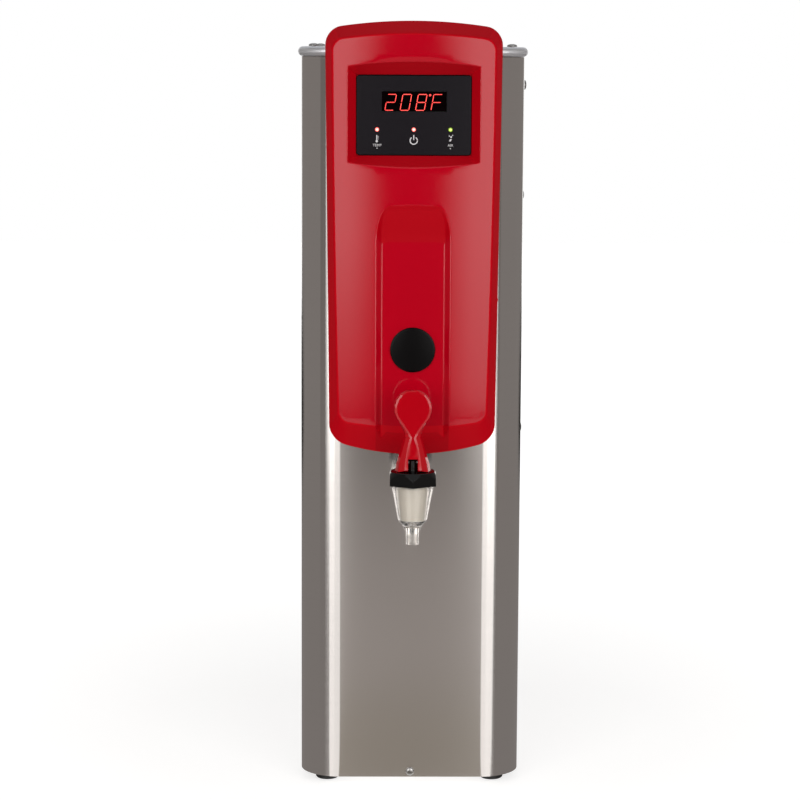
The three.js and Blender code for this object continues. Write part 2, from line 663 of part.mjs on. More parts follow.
function topLid() {
  const slab = new THREE.ExtrudeGeometry(outline(lidOutline, lid.nose), {
    depth: lid.height - 2 * lid.nose + 2 * seatGap,
    bevelSize: lid.nose, bevelThickness: lid.nose - seatGap,
    bevelSegments: noseSteps, curveSegments: cornerSteps,
  }).translate(0, 0, lidBottom + lid.nose - seatGap);
  return cut(
    slab,
    raised(outline(lidOutline, lid.rimWidth), lidBottom - overrun, lidTop - lid.skin, innerCornerSteps),
    ...[-1, 1].flatMap((side) => [lidScrew.frontInset, lidScrewBack].map((y) => lidScrewHole(side, y))),
  );
}

// Front cover

const crownAt = (x) => cover.crown * (1 - (x / coverFace.topHalf) ** 2);
const faceAt = (x) => -cover.faceEdge - crownAt(x);
const rimPlane = -(cover.faceEdge + cover.crown / 2);
const farPlane = -(cover.faceEdge + cover.crown + overrun);

// The recess's outline round the faceplate, and its rim in the face
const recessEdge = {
  top: faceplateTop + holeGap, bottom: faceplateBottom - holeGap,
  topHalf: faceplate.halfWidth + holeGap, bottomHalf: faceplate.halfWidth + holeGap,
  topArch: 0, bottomArch: 0, corner: faceplate.corner + holeGap, waist: 0,
};
const recessRim = {
  top: faceplateTop + recess.topSlope, bottom: faceplateBottom - recess.bottomSlope,
  topHalf: faceplate.halfWidth + recess.sideSlope, bottomHalf: faceplate.halfWidth + recess.sideSlope,
  topArch: recess.arch, bottomArch: recess.arch, corner: recess.corner, waist: 0,
};

function channelEdge({ half, drop, corner }) {
  return {
    top: coverTop - drop, bottom: coverBottom - channel.runOut, topHalf: half, bottomHalf: half,
    topArch: channel.arch, bottomArch: 0, corner, waist: 0,
  };
}

// A tapered pocket that opens at the face: its floor, its rim at the face, and its size past the face
function pocket(floorOutline, floorDepth, rimOutline, grow, back) {
  const share = (farPlane - floorDepth) / (rimPlane - floorDepth);
  const mouth = between(floorOutline, rimOutline, share);
  const ring = (edge, depth) => coverRing(grown(edge, grow), () => depth, pocketArchSteps);
  const rings = [ring(floorOutline, back), ring(floorOutline, floorDepth), ring(mouth, farPlane)];
  return lofted(rings, pocketArchSteps);
}

function frontCover() {
  const outer = lofted([
    coverRing(coverBack, () => cover.wall),
    coverRing(coverBack, () => -cover.backEdge),
    coverRing(coverFace, faceAt),
  ]);
  const hollow = lofted([
    coverRing(grown(coverBack, -cover.wall), () => cover.wall + overrun),
    coverRing(grown(coverBack, -cover.wall), () => cover.wall - cover.backEdge),
    coverRing(grown(coverFace, -cover.wall), (x) => faceAt(x) + cover.wall),
  ]);
  const backWall = common(
    lofted([coverRing(coverBack, () => cover.wall), coverRing(coverBack, () => 0)]),
    block(
      [-cabinet.halfWidth, -overrun, lidTop + seatGap],
      [cabinet.halfWidth, cover.wall + overrun, coverTop + overrun],
    ),
  );
  const [channelFoot, channelRim] = [channelEdge(channel.floor), channelEdge(channel.rim)];
  const recessTool = (grow, back) => pocket(recessEdge, recessFloor, recessRim, grow, back);
  const channelTool = (grow, back) => pocket(channelFoot, channelFloor, channelRim, grow, back);
  const posts = postPlaces.flatMap(({ x, z }) => [
    barY(post.radius, x, z, faceAt(x) + cover.wall / 2, -seatGap, smallSides),
    barY(post.pinRadius, x, z, -overrun, post.pinLength, smallSides),
  ]);
  const bossX = boardHalfWidth - board.bossInset;
  const bossHeights = [boardBottom + board.bossInset, boardTop - board.bossInset];
  const bosses = [-bossX, bossX].flatMap((x) => bossHeights.map((z) => (
    barY(board.bossRadius, x, z, ledgeBack - cover.wall / 2, boardFront - seatGap, smallSides)
  )));
  const shell = join(
    cut(outer, hollow), backWall,
    common(outer, recessTool(cover.wall, ledgeBack)),
    common(outer, channelTool(cover.wall, channelFloor + cover.wall)),
  );
  const cabinetFront = raised(cabinetOutline(-seatGap), coverBottom - overrun, cabinetTop + seatGap);
  const lidFront = raised(outline(lidOutline, -seatGap), lidBottom - seatGap, lidTop + seatGap);
  const trimmed = cut(shell, cabinetFront, lidFront);
  const ledgeHalf = faceplate.halfWidth - windowOpening.border;
  const plugFront = channelFloor - overrun;
  const plugBack = channelFloor + cover.wall + overrun;
  return cut(
    join(trimmed, ...posts, ...bosses),
    recessTool(0, ledgeFace), channelTool(0, channelFloor),
    block(
      [-ledgeHalf, ledgeFace - overrun, faceplateBottom + windowOpening.border],
      [ledgeHalf, ledgeBack + overrun, faceplateTop - windowOpening.border],
    ),
    barY(plug.neckRadius + holeGap, 0, plugZ, plugFront, plugBack, fineSides),
  );
}

function turnedOnY(profile, x, y, z, sides) {
  return turned(profile, sides).rotateX(Math.PI / 2).translate(x, y, z);
}

const keyPlaces = [-keyPitch, 0, keyPitch];

function controlFaceplate() {
  const plate = new THREE.ExtrudeGeometry(
    outline({
      left: -faceplate.halfWidth, right: faceplate.halfWidth, front: faceplateBottom, back: faceplateTop,
      frontRadius: faceplate.corner, backRadius: faceplate.corner,
    }),
    { depth: faceplate.thickness, bevelEnabled: false, curveSegments: innerCornerSteps },
  ).rotateX(Math.PI / 2).translate(0, faceplateBack, 0);
  const [front, back] = [recessFloor - overrun, faceplateBack + overrun];
  const lampHole = (x) => barY(indicator.radius + holeGap, x, indicatorZ, front, back, smallSides);
  return cut(
    plate,
    block([-windowOpening.halfWidth, front, windowBottom], [windowOpening.halfWidth, back, windowTop]),
    ...keyPlaces.map(lampHole),
  );
}

const lensFront = recessFloor + lens.setback;
const moduleFront = lensFront + lens.thickness + seatGap;

function windowBlock(front, back) {
  return block(
    [holeGap - windowOpening.halfWidth, front, windowBottom + holeGap],
    [windowOpening.halfWidth - holeGap, back, windowTop - holeGap],
  );
}

function indicatorLamp(x) {
  const length = boardFront - seatGap - recessFloor;
  const { radius, proud } = indicator;
  const profile = [[0, -length], [radius, -length], [radius, 0], [radius / 2, proud], [0, proud]];
  return turnedOnY(profile, x, recessFloor, indicatorZ, smallSides);
}

const keyFront = faceplateBack + seatGap;
const keyBack = keyFront + key.length;
const switchFront = boardFront - key.switchDepth;

function controlBoard() {
  const plate = block([-boardHalfWidth, boardFront, boardBottom], [boardHalfWidth, boardBack, boardTop]);
  const switches = keyPlaces.map((x) => block(
    [x - key.switchHalf, switchFront, keyZ - key.switchHalf],
    [x + key.switchHalf, boardFront + board.thickness / 2, keyZ + key.switchHalf],
  ));
  const socketBottom = boardBottom + connector.rise;
  const socket = block(
    [-connector.halfWidth, boardBack - board.thickness / 2, socketBottom],
    [connector.halfWidth, boardBack + connector.depth, socketBottom + connector.height],
  );
  const [boreFront, boreBack] = [switchFront - overrun, keyBack + key.travel + holeGap];
  const bores = keyPlaces.map((x) => barY(key.radius + holeGap, x, keyZ, boreFront, boreBack, smallSides));
  return cut(join(plate, ...switches, socket), ...bores);
}

function holePlug() {
  const { radius, flange, dome, neckRadius, neckLength, neckWall } = plug;
  return turnedOnY([
    [0, 0], [neckRadius - neckWall, 0], [neckRadius - neckWall, -neckLength], [neckRadius, -neckLength],
    [neckRadius, 0], [radius, 0], [radius, flange], [radius * Math.SQRT1_2, flange + dome * Math.SQRT1_2],
    [0, flange + dome],
  ], 0, channelFloor - seatGap, plugZ, fineSides);
}

// Faucet

function hexBar(circumradius, z0, z1) {
  const bar = new THREE.CylinderGeometry(circumradius, circumradius, z1 - z0, hexSides);
  return bar.rotateX(Math.PI / 2).translate(0, 0, (z0 + z1) / 2);
}

function faucetBonnet() {
  const { circumradius: r, top, height, chamfer, pocketDepth } = bonnet;
  const hexagon = hexBar(r, bonnetBottom, top);
  const chamferCone = turned([
    [0, bonnetBottom - overrun], [r + overrun, bonnetBottom - overrun], [r + overrun, top - height / 2],
    [r, top - chamfer / 2], [r - chamfer, top], [0, top],
  ], fineSides);
  return cut(
    common(hexagon, chamferCone),
    barZ(body.threadRadius + holeGap, 0, 0, bonnetBottom - overrun, bonnetBottom + pocketDepth, fineSides),
    barZ(stem.radius + holeGap, 0, 0, bonnetBottom - overrun, top + overrun),
  );
}

const boreTopRadius = body.topRadius - body.wall;
const boreBottomRadius = body.shoulderRadius - body.wall / 2;
const seatZ = body.neckZ + body.wall / 2;

function faucetBody() {
  const collarTop = bonnetBottom - seatGap;
  const outer = turned([
    [0, body.tipBottomZ], [body.tipRadius, body.tipBottomZ], [body.tipRadius, body.tipTopZ],
    [body.neckRadius, body.neckZ], [body.shoulderRadius, body.shoulderZ], [body.topRadius, body.waistZ],
    [body.topRadius, collarTop], [body.threadRadius, collarTop], [body.threadRadius, bodyTop], [0, bodyTop],
  ], fineSides);
  const bore = turned([
    [0, body.tipBottomZ - overrun], [body.spoutRadius, body.tipBottomZ - overrun], [body.spoutRadius, seatZ],
    [boreBottomRadius, body.shoulderZ], [boreTopRadius, body.waistZ], [boreTopRadius, bodyTop + overrun],
    [0, bodyTop + overrun],
  ], fineSides);
  const socket = barY(body.socketRadius, 0, 0, body.shoulderRadius / 2, body.socketReach);
  const port = barY(shank.radius + holeGap, 0, 0, 0, body.socketReach + overrun);
  return cut(join(outer, socket), bore, port);
}

// The threaded tube from the faucet's socket through the front panel, with its collar and hose tail
const collarBack = faucet.reach - seatGap;
const threadBack = faucet.reach + shank.threadLength;
const tailBack = threadBack + shank.tailLength;

function faucetShank() {
  const start = boreTopRadius;
  const tube = join(
    barY(shank.radius, 0, 0, start, threadBack),
    barY(shank.collarRadius, 0, 0, collarBack - shank.collarLength, collarBack),
    barY(shank.tailRadius, 0, 0, threadBack - overrun, tailBack),
  );
  return cut(tube, barY(shank.boreRadius, 0, 0, start - overrun, tailBack + overrun));
}

function shankWasher() {
  const front = faucet.reach + sheet + seatGap;
  const disc = barY(washer.radius, 0, 0, front, front + washer.thickness);
  return cut(disc, barY(shank.radius + holeGap, 0, 0, front - overrun, front + washer.thickness + overrun));
}

function shankNut() {
  const front = faucet.reach + sheet + washer.thickness + 2 * seatGap;
  return cut(
    barY(nut.circumradius, 0, 0, front, front + nut.thickness, hexSides),
    barY(shank.radius + holeGap, 0, 0, front - overrun, front + nut.thickness + overrun),
  );
}

// The bell that closes the spout: its cone lies along the cone of the body's bore
function seatCup() {
  const { top, topRadius, clearance, bottomRadius } = cup;
  const floorRadius = boreBottomRadius - clearance;
  const slope = (body.shoulderZ - seatZ) / (boreBottomRadius - body.spoutRadius);
  const onCone = (radius) => seatZ + seatGap + (radius - body.spoutRadius) * slope + seatGap * slope;
  const socketRadius = stem.radius + holeGap;
  return turned([
    [0, onCone(bottomRadius)], [bottomRadius, onCone(bottomRadius)], [floorRadius, onCone(floorRadius)],
    [topRadius, top], [socketRadius, top], [socketRadius, stem.bottom - seatGap], [0, stem.bottom - seatGap],
  ], fineSides);
}

function faucetStem() {
  const rod = turned([[0, stem.bottom], [stem.radius, stem.bottom], [stem.radius, pinZ], [0, pinZ]]);
  const end = barX(stem.radius, 0, pinZ, -stem.radius, stem.radius);
  const roundEnd = common(end, barZ(stem.radius, 0, 0, pinZ - stem.radius, pinZ + stem.radius));
  return cut(
    join(rod, roundEnd),
    barX(handlePin.radius + holeGap, 0, pinZ, -stem.radius - overrun, stem.radius + overrun, smallSides),
  );
}

// The return spring, between the seat cup and the bonnet
const springBottom = cup.top + seatGap + spring.wire;
const springTop = bonnetBottom + bonnet.pocketDepth - seatGap - spring.wire;

class Curls extends THREE.Curve {
  getPoint(t) {
    const angle = 2 * Math.PI * spring.curls * t;
    const height = springBottom + (springTop - springBottom) * t;
    return new THREE.Vector3(spring.radius * Math.cos(angle), spring.radius * Math.sin(angle), height);
  }
}

function stemSpring() {
  const section = new THREE.Shape(circlePoints(spring.wire, wireSides));
  return new THREE.ExtrudeGeometry(section, { steps: curlSteps * spring.curls, extrudePath: new Curls() });
}

// The least gap from one curl to the next, on points of the wire's middle line
function springGap() {
  const points = new Curls().getPoints(fineSides * spring.curls);
  const others = (i) => points.slice(i + fineSides / 2);
  const apart = points.flatMap((point, i) => others(i).map((other) => point.distanceTo(other)));
  return Math.min(...apart) - 2 * spring.wire;
}

// The base's lower front edge. As the handle tilts by an angle, its pivot rises in proportion, and each
// point of this edge is where the base would touch the bonnet, less the clearance under it.
function camShape() {
  const range = THREE.MathUtils.degToRad(cam.rangeDegrees);
  const lift = cam.lift / range;
  const far = handle.halfDepth + overrun;
  const height = stem.pinHeight - seatGap;
  const edge = Array.from({ length: camSteps + 1 }, (_, i) => {
    const angle = range * i / camSteps;
    const reach = height + lift * angle;
    return new THREE.Vector2(
      -reach * Math.sin(angle) - lift * Math.cos(angle),
      -reach * Math.cos(angle) + lift * Math.sin(angle),
    );
  });
  const top = handle.height + overrun;
  const shoulder = edge.at(-1);
  return new THREE.Shape([
    ...edge.reverse(), new THREE.Vector2(far, -height), new THREE.Vector2(far, top),
    new THREE.Vector2(-far, top), new THREE.Vector2(-far, shoulder.y),
  ]);
}

// One faceted section: flat facets in front and behind, a narrow one at each side, and two between them
function handleSection(share) {
  const halfWidth = handle.halfWidth * share.width;
  const halfDepth = handle.halfDepth * share.depth;
  const facet = halfWidth * share.facet;
  const corner = facet + (halfWidth - facet) * cornerShares.side;
  const cornerDepth = halfDepth * cornerShares.depth;
  const sideDepth = halfDepth * cornerShares.sideFacet;
  const right = [
    [facet, -halfDepth], [corner, -cornerDepth], [halfWidth, -sideDepth],
    [halfWidth, sideDepth], [corner, cornerDepth], [facet, halfDepth],
  ];
  const left = right.map(([x, y]) => [-x, y]).reverse();
  return [...right, ...left].map(([x, y]) => [x, y, handle.height * share.height]);
}

// A closed form through the handle's sections
function handleForm() {
  const sections = handleShares.map(handleSection);
  const sides = sections[0].length;
  const last = (sections.length - 1) * sides;
  const indices = [];
  for (let start = 0; start < last; start += sides) {
    for (let i = 0; i < sides; i++) {
      const [a, b] = [start + i, start + (i + 1) % sides];
      indices.push(a, b, b + sides, a, b + sides, a + sides);
    }
  }
  for (let i = 1; i < sides - 1; i++) {
    indices.push(0, i + 1, i);
    indices.push(last, last + i, last + i + 1);
  }
  const geometry = new THREE.BufferGeometry();
  geometry.setAttribute('position', new THREE.Float32BufferAttribute(sections.flat(2), 3));
  geometry.setIndex(indices);
  return geometry.translate(0, 0, handleBottom - pinZ);
}

function faucetHandle() {
  const { halfDepth } = handle;
  const beyond = handle.halfWidth + overrun;
  const camBar = new THREE.ExtrudeGeometry(camShape(), { depth: 2 * beyond, bevelEnabled: false });
  camBar.rotateX(Math.PI / 2).rotateZ(Math.PI / 2).translate(-beyond, 0, 0);
  const slotHalf = stem.radius + handle.slotClearance;
  const slot = join(
    block([-slotHalf, -halfDepth - overrun, -stem.pinHeight - overrun], [slotHalf, slotHalf, 0]),
    block([-slotHalf, -halfDepth - overrun, -overrun], [slotHalf, 0, slotHalf]),
    barX(slotHalf, 0, 0, -slotHalf, slotHalf),
  );
  return cut(
    common(handleForm(), camBar),
    slot,
    barX(handlePin.radius + holeGap, 0, 0, -beyond, beyond, smallSides),
  ).translate(0, 0, pinZ);
}

function crossPin() {
  return barX(handlePin.radius, 0, pinZ, -handlePin.halfLength, handlePin.halfLength, smallSides);
}

// Tank

const tankOutline = {
  left: -tankHalfWidth, right: tankHalfWidth, front: tank.front, back: tankBack,
  frontRadius: tank.corner, backRadius: tank.corner,
};
const insulationOutset = insulation.thickness + seatGap;

function tankBody() {
  const spigots = [[0, outletY], [inletX, valveOutletY]];
  const spigotBottom = tankBottom - spigot.length;
  const floorTop = tankBottom + tank.wall;
  return cut(
    join(
      raised(outline(tankOutline), tankBottom, tankTop, innerCornerSteps),
      raised(outline(tankOutline, -tank.rim), tankTop - tank.wall, tankTop, innerCornerSteps),
      ...spigots.map(([x, y]) => barZ(spigot.radius, x, y, spigotBottom, floorTop)),
    ),
    raised(outline(tankOutline, tank.wall), floorTop, tankTop + overrun, innerCornerSteps),
    ...spigots.map(([x, y]) => barZ(spigot.bore, x, y, spigotBottom - overrun, floorTop + overrun)),
    barZ(heater.holeRadius, 0, heaterY, tankBottom - overrun, floorTop + overrun),
  );
}

function tankStand() {
  const { footFlange, metal } = stand;
  const side = standHalfWidth;
  const path = [
    new THREE.Vector2(side - footFlange, standBottom), new THREE.Vector2(side, standBottom),
    new THREE.Vector2(side, standTop), new THREE.Vector2(-side, standTop),
    new THREE.Vector2(-side, standBottom), new THREE.Vector2(footFlange - side, standBottom),
  ];
  const portal = raised(sheetShape(path, metal), -standBack, -stand.front).rotateX(Math.PI / 2);
  const hole = (x, y, radius) => barZ(radius, x, y, standTop - metal - overrun, standTop + overrun);
  return cut(
    portal,
    hole(0, outletY, hose.radius + overrun), hole(inletX, valveOutletY, fill.radius + overrun),
    hole(0, heaterY, heater.flangeRadius + overrun),
  );
}

function tankGasket() {
  const top = gasketBottom + gasket.thickness;
  const innerEdge = outline(tankOutline, gasket.width - tank.rim);
  return cut(
    raised(outline(tankOutline, -tank.rim), gasketBottom, top, innerCornerSteps),
    raised(innerEdge, gasketBottom - overrun, top + overrun, innerCornerSteps),
  );
}

function tankCoverPlate() {
  const [low, high] = [coverPlateBottom - overrun, coverPlateTop + overrun];
  const hole = (x, y, radius) => barZ(radius + holeGap, x, y, low, high, smallSides);
  return cut(
    raised(outline(tankOutline, -tank.rim), coverPlateBottom, coverPlateTop, innerCornerSteps),
    ...[probe, level].map(({ x, inset, rodRadius }) => hole(x, tank.front + inset, rodRadius)),
    hole(riserX, entryY, airTube.radius),
  );
}

function tankInsulation() {
  const top = tankTop - tank.wall - seatGap;
  return cut(
    raised(outline(tankOutline, -insulationOutset), tankBottom, top, innerCornerSteps),
    raised(outline(tankOutline, -seatGap), tankBottom - overrun, top + overrun, innerCornerSteps),
  );
}

// From the shank's tail back and up to the tank's outlet
function outletHose() {
  const start = new THREE.Vector3(0, tailBack - faucet.reach - hose.overlap, shankZ);
  const knee = new THREE.Vector3(0, outletY, shankZ);
  const end = new THREE.Vector3(0, outletY, tankBottom - spigot.length + hose.overlap);
  return pipe(roundedRoute([start, knee, end], hose.bend), hose.radius, hose.bore, roundSides);
}

function heatingElement() {
  const { flangeRadius, flangeThickness, holeRadius, rodRadius, spread, reach, offset } = heater;
  const flangeTop = tankBottom - seatGap;
  const flangeBottom = flangeTop - flangeThickness;
  const root = flangeTop - flangeThickness / 2;
  const flange = barZ(flangeRadius, 0, heaterY, flangeBottom, flangeTop);
  const loops = [-offset, offset].map((x) => {
    const at = (y, z) => new THREE.Vector3(x, heaterY + y, z);
    const top = flangeTop + reach;
    const corners = [at(-spread, root), at(-spread, top), at(spread, top), at(spread, root)];
    return rod(roundedRoute(corners, spread), rodRadius, smallSides);
  });
  const terminalEnd = flangeBottom - heater.terminalLength;
  const places = [-offset, offset].flatMap((x) => [-spread, spread].map((y) => [x, heaterY + y]));
  const terminalsBelow = places.map(([x, y]) => (
    barZ(heater.terminalRadius, x, y, terminalEnd, root, tubeSides)
  ));
  const collar = barZ(holeRadius - holeGap, 0, heaterY, root, tankBottom + tank.wall);
  return join(flange, collar, ...loops, ...terminalsBelow);
}

function coverProbe({ x, inset, rodRadius, length, headRadius, headHeight }) {
  const seat = coverPlateTop + seatGap;
  const y = tank.front + inset;
  return join(
    barZ(headRadius, x, y, seat, seat + headHeight, hexSides),
    barZ(rodRadius, x, y, seat - length, seat + headHeight / 2, smallSides),
  );
}

function highLimitThermostat() {
  const seat = coverPlateTop + seatGap;
  const { x, radius, height, tabHeight, tabHalfWidth, tabHalfThickness, tabSpread } = limiter;
  const y = tank.front + limiter.inset;
  const tabs = [-1, 1].map((side) => block(
    [x + side * tabSpread - tabHalfThickness, y - tabHalfWidth, seat + height / 2],
    [x + side * tabSpread + tabHalfThickness, y + tabHalfWidth, seat + height + tabHeight],
  ));
  return join(barZ(radius, x, y, seat, seat + height), ...tabs);
}

// Water inlet

function inletFitting() {
  const seat = cabinet.depth + seatGap;
  const end = cabinet.depth + inlet.length;
  return cut(
    join(
      barY(inlet.tailRadius, inletX, inletZ, valveBack + seatGap, end),
      barY(inlet.nutCircumradius, inletX, inletZ, seat, seat + inlet.nutLength, hexSides),
    ),
    barY(inlet.boreRadius, inletX, inletZ, valveBack - overrun, end + overrun),
  );
}

const valveBottom = inletZ - valve.height / 2;
const valveTop = inletZ + valve.height / 2;
const fillBottom = valveTop + seatGap;

function inletValve() {
  const { halfWidth, coilRadius, coilHeight } = valve;
  const [left, right] = [inletX - halfWidth, inletX + halfWidth];
  const coilY = valveBack - coilRadius;
  const legFront = coilY - coilRadius;
  const barbTop = valveTop + spigot.length;
  return cut(
    join(
      block([left, valveFront, valveBottom], [right, valveBack, valveTop]),
      barZ(coilRadius, inletX, coilY, valveTop - overrun, valveTop + coilHeight),
      block([left, legFront, panTop + seatGap], [right, legFront + halfWidth, valveBottom + overrun]),
      barZ(spigot.radius, inletX, valveOutletY, valveTop - overrun, barbTop),
    ),
    barZ(spigot.bore, inletX, valveOutletY, inletZ, barbTop + overrun),
    barY(inlet.boreRadius, inletX, inletZ, valveOutletY, valveBack + overrun),
  );
}

function fillTube() {
  const top = tankBottom - spigot.length + fill.overlap;
  return cut(
    barZ(fill.radius, inletX, valveOutletY, fillBottom, top, smallSides),
    barZ(fill.bore, inletX, valveOutletY, fillBottom - overrun, top + overrun, smallSides),
  );
}

// Electrics

function cordGland() {
  const { radius, collarRadius, collarLength, noseRadius, noseLength, boreRadius, innerLength } = gland;
  const seat = cabinet.depth + seatGap;
  const front = cabinet.depth - sheet - innerLength;
  const neck = seat + collarLength / 2;
  return cut(
    join(
      barY(radius, glandX, glandZ, front, neck),
      barY(collarRadius, glandX, glandZ, seat, seat + collarLength, hexSides),
      barY(noseRadius, glandX, glandZ, neck, seat + noseLength),
    ),
    barY(boreRadius, glandX, glandZ, front - overrun, seat + noseLength + overrun),
  );
}

function terminalBlock() {
  const { length, halfWidth, height, ways, slot, slotDepth } = terminals;
  const [left, right] = [terminalsX - halfWidth, terminalsX + halfWidth];
  const back = cabinet.depth - terminals.rearSpace;
  const front = back - length;
  const base = panTop + seatGap;
  const top = base + height;
  const slots = Array.from({ length: ways }, (_, i) => {
    const middle = front + length * (i + 0.5) / ways;
    return block(
      [left - overrun, middle - slot / 2, top - slotDepth],
      [right + overrun, middle + slot / 2, top + overrun],
    );
  });
  return cut(block([left, front, base], [right, back, top]), ...slots);
}

function solidStateRelay() {
  const { front, length, height, depth, plate, terminal, rim } = relay;
  const back = front + length;
  const bottom = cabinetBottom + relay.rise;
  const outer = standHalfWidth - stand.metal - seatGap;
  const face = outer - depth;
  const base = block([outer - plate, front - rim, bottom - rim], [outer, back + rim, bottom + height + rim]);
  const casing = block([face, front, bottom], [outer - plate / 2, back, bottom + height]);
  const screws = [front + rim, back - rim].flatMap((y) => [bottom + rim, bottom + height - rim].map((z) => (
    barX(rim / 2, y, z, face - terminal, face + terminal, smallSides)
  )));
  return join(base, casing, ...screws);
}

const airOutletZ = panTop + seatGap + pump.height / 2;

function airPump() {
  const base = panTop + seatGap;
  const { y, halfWidth, halfLength, height, motorRadius, motorLength, outletRadius } = pump;
  const [front, right] = [y - halfLength, pumpX + halfWidth];
  const head = block([pumpX - halfWidth, front, base], [right, y + halfLength, base + height]);
  const motor = barY(motorRadius, pumpX, base + height / 2, front - motorLength, front + overrun);
  const nipple = barX(outletRadius, y, airOutletZ, right - overrun, right + overrun, smallSides);
  return join(head, motor, nipple);
}

// From the pump across the pan, up the rear wall and over to the tank cover
function airTubeRun() {
  const high = coverPlateTop + airTube.overCover + airTube.bend;
  const corners = [
    new THREE.Vector3(pumpX + pump.halfWidth + overrun + seatGap, pump.y, airOutletZ),
    new THREE.Vector3(riserX, pump.y, airOutletZ),
    new THREE.Vector3(riserX, riserY, airOutletZ),
    new THREE.Vector3(riserX, riserY, high),
    new THREE.Vector3(riserX, entryY, high),
    new THREE.Vector3(riserX, entryY, coverPlateBottom),
  ];
  return pipe(roundedRoute(corners, airTube.bend), airTube.radius, airTube.bore, tubeSides);
}

// The whole object

const boiler = new THREE.Group();
const frontMost = faucetY - bonnet.circumradius;
const rearMost = cabinet.depth + inlet.length;
boiler.position.y = -(frontMost + rearMost) / 2;

function piece(name, geometry, finish, parent = boiler) {
  const mesh = new THREE.Mesh(geometry, new THREE.MeshStandardMaterial(colours[finish]));
  mesh.name = name;
  parent.add(mesh);
  return mesh;
}

piece('body_shell', bodyShell(), 'steel');
piece('service_panel', servicePanel(), 'steel');
piece('rear_panel', rearPanelSheet(), 'steel');
piece('base_pan', basePan(), 'steel');
piece('top_lid', topLid(), 'lidSteel');
footPlaces.forEach(({ name, x, y }) => {
  piece(name, footBody(), 'rubber').position.set(x, y, 0);
});

[[-1, 'left'], [1, 'right']].forEach(([side, word]) => {
  [['front', lidScrew.frontInset], ['rear', lidScrewBack]].forEach(([end, y]) => {
    const mesh = piece(`lid_screw_${end}_${word}`, screw(lidScrew), 'screwSteel');
    mesh.position.set(side * lidScrewX, y, lidTop + seatGap);
  });
});
Object.entries(panelScrewPlaces).forEach(([place, { inset, drop }]) => {
  const mesh = piece(`service_screw_${place}`, screw(panelScrew), 'screwSteel');
  mesh.rotation.y = Math.PI / 2;
  mesh.position.set(cabinet.halfWidth + seatGap, inset, cabinetTop - drop);
});
const frontScrew = piece('base_screw_front', screw(baseScrew), 'screwSteel');
frontScrew.rotation.x = Math.PI / 2;
frontScrew.position.set(0, -seatGap, baseScrewZ);
Object.entries(rearScrewHeights).forEach(([place, z]) => {
  const mesh = piece(`rear_screw_${place}`, screw(rearScrew), 'screwSteel');
  mesh.rotation.x = -Math.PI / 2;
  mesh.position.set(rearScrewX, cabinet.depth + seatGap, z);
});

piece('front_cover', frontCover(), 'coverRed');
piece('control_faceplate', controlFaceplate(), 'overlay');
piece('display_lens', windowBlock(lensFront, lensFront + lens.thickness), 'lensBlack');
piece('led_display', windowBlock(moduleFront, boardFront - seatGap), 'displayRed');
piece('control_board', controlBoard(), 'boardGreen');
piece('hole_plug', holePlug(), 'plasticBlack');
const lamps = [['temp', 'indicatorRed'], ['power', 'indicatorRed'], ['air', 'indicatorGreen']];
lamps.forEach(([word, finish], i) => {
  const x = keyPlaces[i];
  piece(`indicator_${word}`, indicatorLamp(x), finish);
  piece(`key_${word}`, barY(key.radius, x, keyZ, keyFront, keyBack, smallSides), 'plasticBlack');
});

const faucetGroup = new THREE.Group();
faucetGroup.position.set(0, faucetY, shankZ);
boiler.add(faucetGroup);
piece('faucet_body', faucetBody(), 'clearPlastic', faucetGroup);
piece('faucet_bonnet', faucetBonnet(), 'plasticBlack', faucetGroup);
piece('faucet_handle', faucetHandle(), 'handleRed', faucetGroup);
piece('handle_pin', crossPin(), 'screwSteel', faucetGroup);
piece('faucet_stem', faucetStem(), 'plasticBlack', faucetGroup);
piece('seat_cup', seatCup(), 'silicone', faucetGroup);
piece('stem_spring', stemSpring(), 'zinc', faucetGroup);
piece('faucet_shank', faucetShank(), 'plasticBlack', faucetGroup);
piece('shank_washer', shankWasher(), 'rubber', faucetGroup);
piece('shank_nut', shankNut(), 'zinc', faucetGroup);

piece('outlet_hose', outletHose(), 'silicone');
piece('tank', tankBody(), 'steel');
piece('tank_stand', tankStand(), 'zinc');
piece('tank_gasket', tankGasket(), 'silicone');
piece('tank_cover', tankCoverPlate(), 'steel');
piece('tank_insulation', tankInsulation(), 'foam');
piece('heating_element', heatingElement(), 'zinc');
piece('temperature_probe', coverProbe(probe), 'zinc');
piece('level_probe', coverProbe(level), 'zinc');
piece('high_limit_thermostat', highLimitThermostat(), 'plasticBlack');
piece('inlet_fitting', inletFitting(), 'brass');
piece('inlet_valve', inletValve(), 'brass');
piece('fill_tube', fillTube(), 'silicone');
piece('cord_gland', cordGland(), 'plasticBlack');
piece('terminal_block', terminalBlock(), 'plasticBlack');
piece('solid_state_relay', solidStateRelay(), 'plasticBlack');
piece('air_pump', airPump(), 'plasticBlack');
piece('air_tube', airTubeRun(), 'silicone');

console.log(`least gap between the spring's curls: ${springGap().toFixed(2)} mm`);

export default boiler;
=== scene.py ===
"""Dresses the water boiler: fine surfaces, materials, light and camera over its frame.

Lengths are millimetres from the middle of the front panel's foot line, x to the right, y to the back and
z up from the counter, and place() turns them into the frame's metres.
"""
import math

import bmesh
import bpy
from mathutils import Matrix, Vector
from mathutils.bvhtree import BVHTree
from mathutils.geometry import delaunay_2d_cdt
from mathutils.kdtree import KDTree


